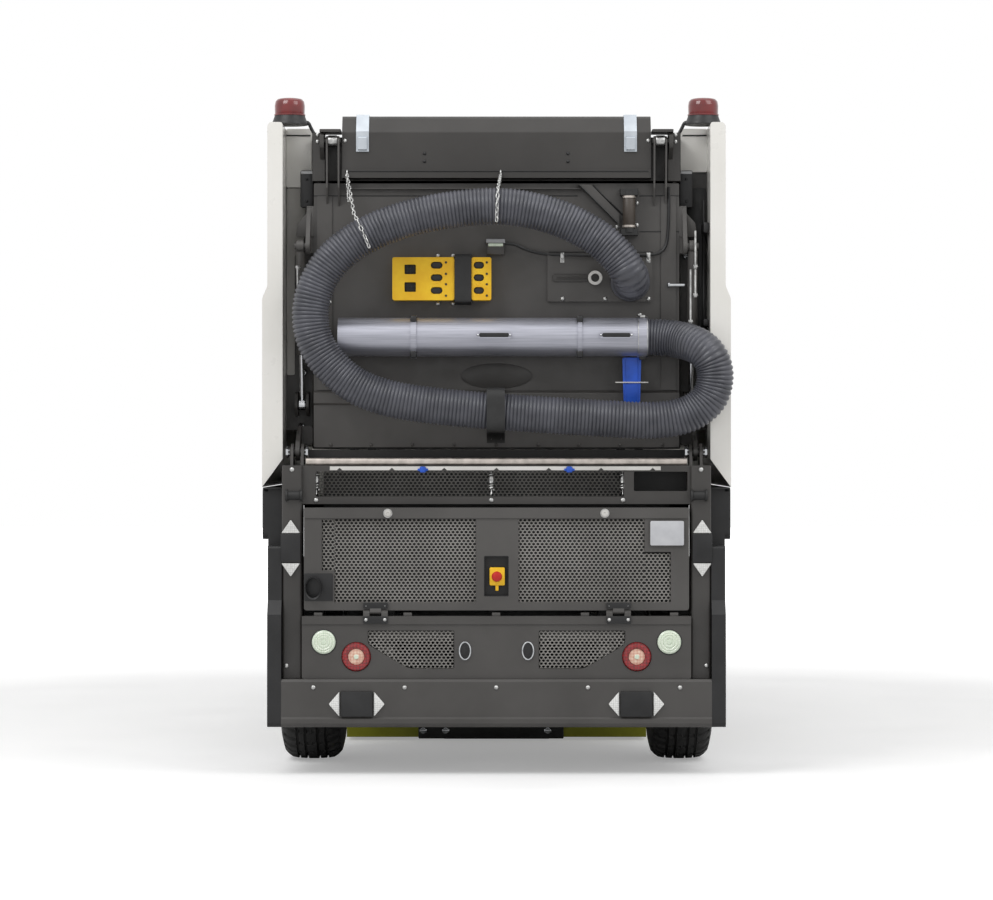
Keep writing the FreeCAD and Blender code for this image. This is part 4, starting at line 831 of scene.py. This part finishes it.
beacon = (602, -1880, 1876.2)
foot = turnedShape([(0, 0), (53, 0), (53, 6), (50, 10), (46, 21), (44, 27), (0, 27)], 40)
dome = turnedShape([(42, 26), (43.5, 34), (44, 56), (42, 68), (36, 75), (24, 77.5), (0, 78)], 40)
skirt = turnedShape([(42, 26), (45.5, 27), (45.5, 31), (42, 32), (42, 26)], 40)
piece = bmesh.new()
for shape, index in ((foot, 0), (skirt, 1), (dome, 1)):
    place(piece, shape, beacon, index=index)
place(piece, roundBar([(556, -1880, 1884), (548, -1880, 1886), (540, -1875, 1866), (528, -1872, 1846)], 5))
mirror(piece)
makePiece("beaconLamps", piece, "hopper_body", "blackPlastic redDome", ["beacons"])
print("hopper dressed")


# Rear frame: springs, buffers, rubber flaps, shade sheet under the lid, clips, label plate, recess, stop
# switch, knobs, stub

piece = bmesh.new()
for x in (-518, -15, 363):
    place(piece, springShape(46, 7, 2.2, 6), (x, -2012, 816))
    place(piece, roundBar([(x, -2012, 862), (x, -2012, 870), (x, -2020, 872)], 1.5))
    place(piece, roundBar([(x, -2012, 816), (x, -2012, 806), (x, -2018, 800)], 1.5))
    place(piece, turnedShape([(0, 0), (8, 0), (8, 12), (5, 15), (0, 15)], 16), (x, -2012, 838))
makePiece("ventSprings", piece, "chassis", "zinc")
piece = bmesh.new()
place(piece, turnedShape([(0, 0), (17, 0), (17, 6), (13, 8), (13, 40), (17, 42), (17, 48), (0, 48)], 24),
      (556, -2053, 800), right)
mirror(piece)
makePiece("postBuffers", piece, "chassis", "flapRubber")
piece = bmesh.new()
for z0, z1 in ((441, 774), (760, 800)):
    panel(piece, (500, -1959.5, z0), (556, -1957.5, z1))
panel(piece, (600, -300, 745), (674, -295, 860))
block(piece, (619, -1980, 817), (674, -340, 822), 1.5)
mirror(piece)
panel(piece, (372, -1959.5, 790), (556, -1957.5, 884))
# a black rubber sheet across the gap between the lid's bottom and the ledge: painted shade where the view would
# otherwise run through under the hopper
panel(piece, (-545, -1912, 905), (545, -1908, 931))
panel(piece, (-552, -1959.5, 763), (552, -1957.5, 776))
makePiece("rubberBafflesAndGapShadeSheet", piece, "chassis", "flapRubber")
piece = bmesh.new()
panel(piece, (-250, -866, 6), (215, -862.2, 64), 4, 1)
makePiece("nozzleDragFlap", piece, "chassis", "flapRubber")
piece = bmesh.new()
for x in (-235, -163, 164):
    place(piece, hexBolt(8), (x, -866, 32), rearward)
    block(piece, (x - 12, -868, 26), (x + 12, -865, 38), 1)
makePiece("dragFlapBolts", piece, "chassis", "chromePlastic")
piece = bmesh.new()
for x in (-211, 209):
    block(piece, (x - 9, -2046, 865), (x + 9, -2033, 883), 4)
    block(piece, (x - 15, -2043, 870), (x + 15, -2035, 877), 2)
makePiece("blueClips", piece, "chassis", "blueRubber")

piece = bmesh.new()
panel(piece, (440, -2066, 657), (536, -2064.5, 727), 5, 0.5)
makePiece("blankLabelPlate", piece, "grille_body", "paleLabel")
piece = bmesh.new()
panel(piece, (-35.5, -2038, 511.5), (34.5, -2036, 626.5))
for x0, x1, z0, z1 in ((-36, -34, 511, 627), (33, 35, 511, 627), (-36, 35, 511, 513), (-36, 35, 625, 627)):
    panel(piece, (x0, -2059, z0), (x1, -2036, z1))
panel(piece, (-550, -2062, 498), (-468, -2059, 577), 4, 0.6)
pipe = turnedShape([(0, 1), (28, 1), (28.5, 2), (29, 24), (33, 27), (33.5, 24), (33, 0), (0, 0)], 36)
pipe.transform(Matrix.Diagonal((0.72, 1, 1, 1)))
place(piece, pipe, (-524, -2060, 536), rearward)
makePiece("recessAndStub", piece, "grille_body", "blackPlastic", ["door_fittings"])
knob = turnedShape([(0, -4), (9, -4), (10.5, -2), (10.5, 3), (9, 6), (4, 7), (3, 5.5), (0, 5.5)], 24)
washer = turnedShape([(0, -1), (13, -1), (13, 0.6), (0, 0.6)], 24)
piece = bmesh.new()
for x in (-311, 310):
    place(piece, knob, (x, -2068, 749), rearward)
    place(piece, washer, (x, -2064, 749), rearward, index=1)
makePiece("hatchKnobs", piece, "grille_body", "whiteSteel zinc", ["door_fittings"])
piece = bmesh.new()
block(piece, (-20, -2062, 542), (24, -2037, 594), 4)
block(piece, (-3, -2060, 527), (6, -2050, 543), 2)
place(piece, turnedShape([(0, 0), (17, 0), (17, 1.5), (14, 3), (0, 3)], 32), (1, -2061, 568), rearward)
place(piece, turnedShape([(0, 0), (9, 0), (9, 7), (13.5, 8.5), (15, 12), (13, 16), (8, 18), (0, 18.5)], 32),
      (1, -2062, 568), rearward, index=1)
makePiece("stopSwitch", piece, "grille_body", "yellowPlastic redPlastic", ["emergency_stop"])
piece = bmesh.new()
for z in (533, 600, 666):
    for x0, x1 in ((-464, -59), (63, 424)):
        block(piece, (x0, -2050, z - 4), (x1, -2043, z + 4), 1)
for x0, x1 in ((-464, -59), (63, 499)):
    block(piece, (x0, -2046, 612), (x1, -2044, 614), 0.5)
makePiece("grilleStays", piece, "grille_body", "blackEnamel", ["grille_mesh"])
for name, body, z0, z1, y in (("hatch", "grille_body", 477, 494, -2069), ("panel", "chassis", 434, 455, -2079)):
    piece = bmesh.new()
    for x0, x1 in ((-381, -311), (314, 384)):
        panel(piece, (x0, y - 1, z0), (x1, y + 0.5, z1), 3, 0.4)
    makePiece(name + "HingeLeaves", piece, body, "blackPlastic")
piece = bmesh.new()
for x in (-510, -254, -1, 253, 508):
    block(piece, (x - 12, -2067, 452), (x + 12, -2060, 465), 1.5)
makePiece("seamTabs", piece, "chassis", "greyEnamel")
print("grille door dressed")


# Lamps and markers

clear = turnedShape([(0, 8.5), (6, 8.2), (8, 5), (12, 7.6), (15, 7.4), (17, 4.2), (21, 6.4), (23, 6), (25, 3),
                     (28, 4.6), (31, 3.4), (34, 1), (34, -20), (0, -20)], 48)
redRing = turnedShape([(23, -18), (23, 2.5), (25, 5.5), (31, 7), (38, 5.5), (41.5, 1), (41.5, -20),
                       (0, -20)], 48)
rose = turnedShape([(0, 6.5), (7, 6.5), (9, 4.8), (15, 5), (22.8, 2.5), (22.8, -17), (0, -17)], 40)
bezel = turnedShape([(34, -4), (36.5, -4), (36.5, 1.5), (35, 2.5), (34, 1.5), (34, -4)], 48)
bead = turnedShape([(0, 8), (6, 7.4), (8.5, 5), (8.5, 2), (0, 2)], 24)
outerLamp, innerLamp = (494, -2070, 381), (401, -2070, 339)
piece = bmesh.new()
for shape, spot, index in ((clear, outerLamp, 0), (bezel, outerLamp, 3), (redRing, innerLamp, 1),
                           (rose, innerLamp, 2), (bead, innerLamp, 0)):
    place(piece, shape, spot, rearward, index=index)
mirror(piece)
makePiece("rearLampLenses", piece, "chassis", "paleLens redLens roseLens blackPlastic",
          ["rear_lamps"])
piece = bmesh.new()
pullRim = [(x, -2073, z) for x, z in oval(90, 356, 16, 25, 24)]
place(piece, roundBar(pullRim, 2.4, closed=True, smooth=False), index=1)
place(piece, plateShape(oval(90, 356, 15, 24, 24), "XZ", -2072, -2066, 1))
place(piece, plateShape(oval(92, 356, 6, 16, 16), "XZ", -2074, -2071, 0.8))
mirror(piece)
makePiece("ovalPulls", piece, "chassis", "blackPlastic chromePlastic")

piece = bmesh.new()
panel(piece, (354, -2095, 169), (444, -2085, 241), 3, 2)
panel(piece, (561, -2062, 608), (617, -2050, 690), 3, 2)
for rear, front, triangle in ((-2093, -2085, [(319, 205), (350, 241), (350, 169)]),
                              (-2093, -2085, [(479, 205), (448, 241), (448, 169)]),
                              (-2060, -2050, [(589, 731), (562, 692), (616, 692)]),
                              (-2060, -2050, [(589, 567), (562, 606), (616, 606)])):
    place(piece, plateShape(rounded(triangle, 4), "XZ", rear, front, 1.5), index=1)
mirror(piece)
makePiece("cornerMarkers", piece, "chassis", "blackPlastic reflector", ["marker_lamps"])
print("lamps made")


# Tyres with ribs, shoulder lugs and sidewall rings; wheel nuts, hub caps and valves

wheel = {"x": 549, "frontY": 250, "rearY": -1500, "z": 305, "nutCircle": 73}
tyre = {"steps": 96, "lugDepth": 6, "sipeDepth": 3}


def treadedTyre():
    half = [(0, 305), (14, 305), (15, 297), (21, 297), (22, 304.5), (38, 303.5), (39, 296), (45, 296),
            (46, 303), (62, 300), (74, 292), (84, 281), (88, 268), (92, 250), (92.3, 236), (90, 224),
            (91, 218), (88.5, 206), (84, 198), (78, 191), (76.9, 178.2), (68.5, 178.2)]
    bm = bmesh.new()
    whole = [(r, -u) for u, r in reversed(half)] + [(r, u) for u, r in half[1:]]
    bm.from_mesh(turnedShape(whole, tyre["steps"]))
    slots = []
    sipes = []
    for face in bm.faces:
        centre = face.calc_center_median() / mm
        turn = round(math.atan2(centre.y, centre.x) / math.tau * tyre["steps"] - 0.5)
        if 46 < abs(centre.z) < 84 and centre.xy.length > 280 and turn % 2 == (0 if centre.z > 0 else 1):
            slots.append(face)
        elif abs(centre.z) < 38 and centre.xy.length > 303 and turn % 3 == 0:
            sipes.append(face)
    bmesh.ops.inset_region(bm, faces=slots, thickness=4.2 * mm, depth=-tyre["lugDepth"] * mm,
                           use_even_offset=True)
    bmesh.ops.inset_individual(bm, faces=sipes, thickness=3.4 * mm, depth=-tyre["sipeDepth"] * mm,
                               use_even_offset=True)
    bmesh.ops.recalc_face_normals(bm, faces=bm.faces)
    return meshFrom(bm)


treaded = treadedTyre()
hubCap = turnedShape([(0, 68), (16, 68), (30, 66), (36, 60), (40, 52), (42, 48), (42, 44)], 32)
nut = turnedShape([(0, 46), (11, 46), (11, 50), (8.6, 50), (8.6, 62), (6, 65), (0, 66)], 6)
for tag in wheelTags:
    end, hand = tag.split("_")
    side = -1 if hand == "left" else 1
    y = wheel[end + "Y"]
    hub, axle = (side * wheel["x"], y, wheel["z"]), (side, 0, 0)
    name = end + hand.capitalize()
    piece = bmesh.new()
    place(piece, treaded, hub, axle)
    makePiece(name + "Tyre", piece, "wheel_" + tag, "tyreRubber", ["tyre_" + tag], angle=30)
    piece = bmesh.new()
    place(piece, hubCap, hub, axle)
    for along, high, angle in circle(wheel["nutCircle"], 5):
        place(piece, nut, (hub[0], y + along, wheel["z"] + high), axle, turn=angle, index=1)
    rod(piece, (hub[0] + side * 52, y + 142, wheel["z"]), (hub[0] + side * 84, y + 150, wheel["z"]), 4, index=2)
    makePiece(name + "HubCap", piece, "wheel_" + tag, "blackPlastic zinc flapRubber")
print("wheels dressed")


# Side brushes: a plate and rings of flared bristle tufts

brush = {"x": 340, "y": 1775, "rings": ((128, 34, 232), (146, 40, 268), (164, 46, 298), (180, 52, 324)),
         "spread": 0.016}
plateOutline = [(16.06, 172), (62, 172), (120, 166), (190, 160), (192, 168), (190, 186), (180, 194), (72, 199),
                (66, 216), (16.06, 216), (16.06, 172)]
for side, tag in ((-1, "left"), (1, "right")):
    hubX, hubY = side * brush["x"], brush["y"]
    piece = bmesh.new()
    place(piece, turnedShape(plateOutline, 48), (hubX, hubY, 0))
    for x, y, angle in circle(44, 6):
        place(piece, hexBolt(8), (hubX + x, hubY + y, 216))
    makePiece(tag + "BrushPlate", piece, f"brush_{tag}_body", "castIron", ["brush_" + tag])
    piece = bmesh.new()
    for root, count, tip in brush["rings"]:
        middle = root + 0.3 * (tip - root)
        for x, y, angle in circle(1, count, 0.5 * (count % 4)):
            for spread in (-brush["spread"], brush["spread"]):
                tipX, tipY = math.cos(angle + spread), math.sin(angle + spread)
                route = [(hubX + root * x, hubY + root * y, 168), (hubX + middle * x, hubY + middle * y, 104),
                         (hubX + tip * tipX, hubY + tip * tipY, 14)]
                place(piece, roundBar(route, 4.4, sides=4))
    makePiece(tag + "BrushBristles", piece, f"brush_{tag}_body", "bristle", ["brush_" + tag])
    piece = bmesh.new()
    for k in (-12, 12):
        route = [(300, 1190, 320), (300, 1200, 336), (300, 1330, 338), (330, 1560, 338), (336, 1690, 345),
                 (338, 1735, 372)]
        place(piece, roundBar([(side * x + k, y, z) for x, y, z in route], 7))
    makePiece(tag + "BrushHoses", piece, f"arm_{tag}_body", "flapRubber")
    piece = bmesh.new()
    place(piece, turnedShape([(0, 0), (46, 0), (46, 6), (38, 10), (20, 10), (20, 16), (0, 16)], 32),
          (hubX, hubY, 399))
    for x, y, angle in circle(54, 4, 0.5):
        place(piece, hexBolt(6), (hubX + x, hubY + y, 330))
    makePiece(tag + "BrushMotorCap", piece, f"arm_{tag}_body", "zinc")
print("brushes made")


# Cab: window seals, wipers, grips, mirror glass, head lamps, indicators, display and pedals

def ahead(x, z, gap):
    # a point in front of the nose's sloping face, which the windscreen follows
    return (x, 1430 - (z - 860) * 390 / 1060 + gap, z)


def seal(piece, points, radius):
    place(piece, roundBar(points, radius, closed=True, smooth=False))


doorOpening = [(620, 960), (1225, 960), (960, 1770), (620, 1770)]
piece = bmesh.new()
seal(piece, [(641, y, z) for y, z in rounded(box(-150, 480, 980, 1810), 50)], 7)
mirror(piece)
seal(piece, [ahead(x, z, 1) for x, z in rounded(box(-570, 570, 900, 1780), 60)], 8)
makePiece("cabWindowSeals", piece, "chassis", "flapRubber")
for side, tag in ((-1, "left"), (1, "right")):
    piece = bmesh.new()
    seal(piece, [(side * 645, y, z) for y, z in rounded(doorOpening, 40)], 7)
    x0, x1 = sorted((side * 645, side * 664))
    block(piece, (x0, 596, 878), (x1, 764, 907), 6)
    grip = rounded([(590, 868), (770, 868), (770, 917), (590, 917)], 12)
    place(piece, plateShape(grip, "YZ", *sorted((side * 643.5, side * 647)), 1))
    makePiece(tag + "DoorTrim", piece, f"door_{tag}_body", "flapRubber")

piece = bmesh.new()
for foot in (-430, 70):
    arm = [(0, 890, 10), (8, 900, 30), (60, 1010, 24), (150, 1200, 20)]
    place(piece, roundBar([ahead(foot + x, z, gap) for x, z, gap in arm], 5))
    place(piece, turnedShape([(0, 0), (16, 0), (16, 14), (12, 20), (0, 20)], 24), ahead(foot, 890, 4),
          (0, 0.94, 0.345))
    for gap, radius in ((13, 4), (7, 2.4)):
        blade = [ahead(foot + x, z, gap) for x, z in ((72, 960), (150, 1200), (228, 1440))]
        place(piece, roundBar(blade, radius))
makePiece("wipers", piece, "chassis", "blackPlastic")

piece = bmesh.new()
panel(piece, (694, 1382.5, 1184), (836, 1386, 1446), 16, 0.8)
mirror(piece)
makePiece("mirrorGlasses", piece, "chassis", "mirrorGlass")

bowl = turnedShape([(0, 0), (20, 1), (45, 8), (64, 20), (70, 30), (72, 30), (74, -1), (0, -1)], 40)
cover = turnedShape([(0, 36), (40, 35), (62, 32), (73, 27), (75, 22), (75, 20), (0, 31)], 40)
bulb = turnedShape([(0, 1), (9, 1), (9, 8), (6, 20), (0, 24)], 20)
rim = turnedShape([(73, 20), (79, 20), (80, 24), (77, 30), (74, 30), (73, 20)], 40)
piece = bmesh.new()
for index, shape in enumerate((bowl, cover, bulb, rim)):
    place(piece, shape, (500, 1401, 700), forward, index=index)
mirror(piece)
for x0 in (-579, 421):
    block(piece, (x0, 1400, 561), (x0 + 158, 1431, 609), 8, index=4)
    for x in [x0 + 16 + k * 15.8 for k in range(9)]:
        rod(piece, (x, 1431, 568), (x, 1431, 602), 1.6, index=4)
makePiece("headLampUnits", piece, "chassis", "chromePlastic clearCover paleLens blackPlastic amberLens",
          ["headlamps"])

piece = bmesh.new()
block(piece, (-110, 1168, 958), (110, 1186, 1078), 6)
block(piece, (-100, 1165, 966), (100, 1169, 1070), 2, index=1)
rod(piece, (0, 1185, 945), (0, 1180, 1000), 12)
for x in (-360, -270):
    block(piece, (x - 28, 1290, 540), (x + 28, 1302, 640), 4)
    rod(piece, (x, 1300, 590), (x, 1340, 640), 6)
button = turnedShape([(0, 0), (11, 0), (11, 3), (8, 6), (0, 6)], 20)
for k in range(6):
    place(piece, button, (140 + 34 * k, 1156, 952), (0, -0.6, 0.8))
makePiece("cabControls", piece, "chassis", "blackPlastic darkScreen")
print("cab dressed")


# Sides: panel joints, screws, side markers, filler cap

panelSide, panelTop, skirtSide = 676.2, 661.2, 676
piece = bmesh.new()
for y in (-1430, -880):
    rod(piece, (panelSide, y, 828), (panelSide, y, 1366), 1.3)
    rod(piece, (panelTop, y, 1405), (panelTop, y, 1868), 1.3)
    rod(piece, (panelSide, y, 1366), (panelTop, y, 1405), 1.3)
mirror(piece)
makePiece("panelJoints", piece, "hopper_body", "blackPlastic")
piece = bmesh.new()
for y in range(-1930, -380, 120):
    place(piece, domeScrew(5), (676, y, 846), right)
    place(piece, domeScrew(5), (661, y, 1852), right)
mirror(piece)
makePiece("panelScrews", piece, "hopper_body", "zinc")
piece = bmesh.new()
for x, y, z in ((676, -1900, 780), (676, -1500, 785), (676, -1080, 780), (676, -230, 780), (676, -1080, 370),
                (676, -230, 370), (676, -650, 780), (655, -1990, 190), (655, -1990, 420), (655, -1990, 600)):
    place(piece, domeScrew(7), (x, y, z), right)
mirror(piece)
makePiece("skirtScrews", piece, "chassis", "zinc")
piece = bmesh.new()
for y in (-1020, -300):
    block(piece, (skirtSide, y - 50, 690), (skirtSide + 7, y + 50, 722), 4)
mirror(piece)
makePiece("sideMarkers", piece, "chassis", "amberLens")
piece = bmesh.new()
for z in (430, 500):
    rod(piece, (skirtSide + 1, -1080, z), (skirtSide + 1, -240, z), 3)
mirror(piece)
place(piece, turnedShape([(0, 0), (48, 0), (48, 4), (40, 6), (38, 22), (34, 25), (0, 25)], 12),
      (-skirtSide, -620, 560), left)
makePiece("fillerCapAndRibs", piece, "chassis", "blackPlastic")
print("sides dressed")


# Seats: stuffed cushions from a cloth simulation, with sewn channels, on moulded shells

seat = {"x": 300, "voxel": 7, "pressure": 4.0, "frames": 20, "cap": 11, "channel": 5.0}


def stuffedPad(size, channels):
    # a cushion centred on the origin, blown up by cloth and pulled in along its seams
    mesh = blockShape([-s / 2 for s in size], [s / 2 for s in size], min(size) * 0.32, 4)
    pad = bpy.data.objects.new("pad", mesh)
    bpy.context.scene.collection.objects.link(pad)
    voxels = pad.modifiers.new("voxels", "REMESH")
    voxels.mode = "VOXEL"
    voxels.voxel_size = seat["voxel"] * mm
    start = evaluatedMesh(pad)
    pad.modifiers.clear()
    pad.data = start
    rest = [v.co.copy() for v in start.vertices]
    cloth = pad.modifiers.new("stuffing", "CLOTH")
    cloth.settings.use_pressure = True
    cloth.settings.uniform_pressure_force = seat["pressure"]
    cloth.settings.effector_weights.gravity = 0
    cloth.settings.quality = 5
    cloth.point_cache.frame_start = 1
    cloth.point_cache.frame_end = seat["frames"]
    for number in range(1, seat["frames"] + 1):
        bpy.context.scene.frame_set(number)
    swollen = evaluatedMesh(pad)
    bpy.context.scene.frame_set(1)
    for vertex, blown, before in zip(start.vertices, swollen.vertices, rest):
        move = blown.co - before
        vertex.co = before + move * min(1.0, seat["cap"] * mm / max(move.length, 1e-9))
    half = [s / 2 * mm for s in size]
    thin = size.index(min(size))
    for vertex in start.vertices:
        depth = math.exp(-(vertex.co[thin] / (4 * mm)) ** 2) * 0.6
        for axis, where in channels:
            depth += math.exp(-((abs(vertex.co[axis]) - where * mm) / (7 * mm)) ** 2)
        inward = vertex.co.copy()
        for axis in range(3):
            inward[axis] *= (-1 if axis == thin else -0.3) / half[axis]
        vertex.co += inward.normalized() * depth * seat["channel"] * mm
    bpy.data.objects.remove(pad)
    return start


pads = {"Base": (stuffedPad((424, 462, 74), [(0, 112), (1, 90)]), (440, 906), 0),
        "Back": (stuffedPad((424, 74, 520), [(0, 112), (2, 120)]), (196, 1218), math.radians(8.5)),
        "Head": (stuffedPad((236, 60, 156), [(2, 40)]), (128, 1592), math.radians(5))}
for x, tag in ((-seat["x"], "left"), (seat["x"], "right")):
    for part, (shape, (y, z), lean) in pads.items():
        copy = shape.copy()
        copy.transform(Matrix.Translation(at(x, y, z)) @ Matrix.Rotation(lean, 4, "X"))
        piece = bmesh.new()
        piece.from_mesh(copy)
        cushion = makePiece(f"{tag}Seat{part}", piece, "chassis", "seatCloth", ["seats"],
                            angle=180)
        smooth = cushion.modifiers.new("smooth", "SUBSURF")
        smooth.levels = smooth.render_levels = 1
piece = bmesh.new()
for x in (-seat["x"], seat["x"]):
    block(piece, (x - 150, 240, 701), (x + 150, 600, 846), 20)
    block(piece, (x - 222, 170, 846), (x + 222, 684, 864), 8)
    place(piece, plateShape([(150, 850), (166, 850), (110, 1498), (92, 1498)], "YZ", x - 215, x + 215, 5))
    for k in (-60, 60):
        rod(piece, (x + k, 118, 1440), (x + k, 112, 1530), 6)
    hoop = [(x - 120, 560, 706), (x - 120, 640, 720), (x + 120, 640, 720), (x + 120, 560, 706)]
    place(piece, roundBar(hoop, 6))
makePiece("seatShells", piece, "chassis", "blackPlastic", ["seats"])
print("seats made")


# Camera, light and floor

view = {"distance": 12.1, "height": 0.930, "lens": 127.2}
camera = bpy.data.objects.new("camera", bpy.data.cameras.new("camera"))
camera.data.lens = view["lens"]
camera.data.sensor_width = 36
camera.data.clip_end = 200
camera.location = (0, -view["distance"], view["height"])
camera.rotation_euler = Euler((math.radians(90), 0, 0))
bpy.context.scene.collection.objects.link(camera)
bpy.context.scene.camera = camera

lamps = {
    "keyLeft": {"place": (-3.2, -5.2, 5.4), "size": 3.0, "power": 150},
    "keyRight": {"place": (3.4, -4.6, 4.8), "size": 3.0, "power": 80},
    "topSoft": {"place": (0, -1.2, 6.5), "size": 5.0, "power": 50},
}
lit = Vector((0, -0.5, 0.9))
for name, lamp in lamps.items():
    light = bpy.data.lights.new(name, "AREA")
    light.size = lamp["size"]
    light.energy = lamp["power"]
    holder = bpy.data.objects.new(name, light)
    holder.location = lamp["place"]
    holder.rotation_euler = (lit - Vector(lamp["place"])).to_track_quat("-Z", "Y").to_euler()
    bpy.context.scene.collection.objects.link(holder)

world = bpy.data.worlds.new("softStudio")
world.use_nodes = True
bpy.context.scene.world = world
sky = world.node_tree.nodes["Background"]
rays = addNode(world, "ShaderNodeLightPath").outputs
direct = rays["Is Camera Ray"]
for ray in ("Is Glossy Ray", "Is Transmission Ray"):
    larger = addNode(world, "ShaderNodeMath", {"operation": "MAXIMUM"}, {0: direct, 1: rays[ray]})
    direct = larger.outputs["Value"]
level = addNode(world, "ShaderNodeMapRange", {"To Min": 0.55, "To Max": 1.0}, {"Value": direct})
sky.inputs["Color"].default_value = (1, 1, 1, 1)
world.node_tree.links.new(level.outputs["Result"], sky.inputs["Strength"])

floorMesh = bmesh.new()
bmesh.ops.create_grid(floorMesh, x_segments=4, y_segments=4, size=30)
floor = bpy.data.objects.new("studioFloor", meshFrom(floorMesh, "studioFloor"))
bpy.context.scene.collection.objects.link(floor)
floorPaint, coords = startMaterial("paintedConcretePale", Roughness=0.9, Emission_Color=(1, 1, 1, 1))
drive(floorPaint, pattern(floorPaint, coords, "Noise", 400, Detail=3.0), {0.35: "#e4e4e4", 0.65: "#eaeaea"})
away = addNode(floorPaint, "ShaderNodeVectorMath", {"operation": "LENGTH"}, {"Vector": coords})
brighter = {"From Min": 2.4, "From Max": 6.0, "To Min": 0.3, "To Max": 1.0}
fade = addNode(floorPaint, "ShaderNodeMapRange", brighter, {"Value": away.outputs["Value"]})
seen = addNode(floorPaint, "ShaderNodeLightPath").outputs["Is Camera Ray"]
lift = addNode(floorPaint, "ShaderNodeMath", {"operation": "MULTIPLY"}, {0: seen, 1: fade.outputs["Result"]})
floorPaint.node_tree.links.new(lift.outputs["Value"],
                               floorPaint.node_tree.nodes["Principled BSDF"].inputs["Emission Strength"])
floor.data.materials.append(floorPaint)
bpy.context.scene.view_settings.view_transform = "Standard"

bpy.context.view_layer.update()
print("scene ready")
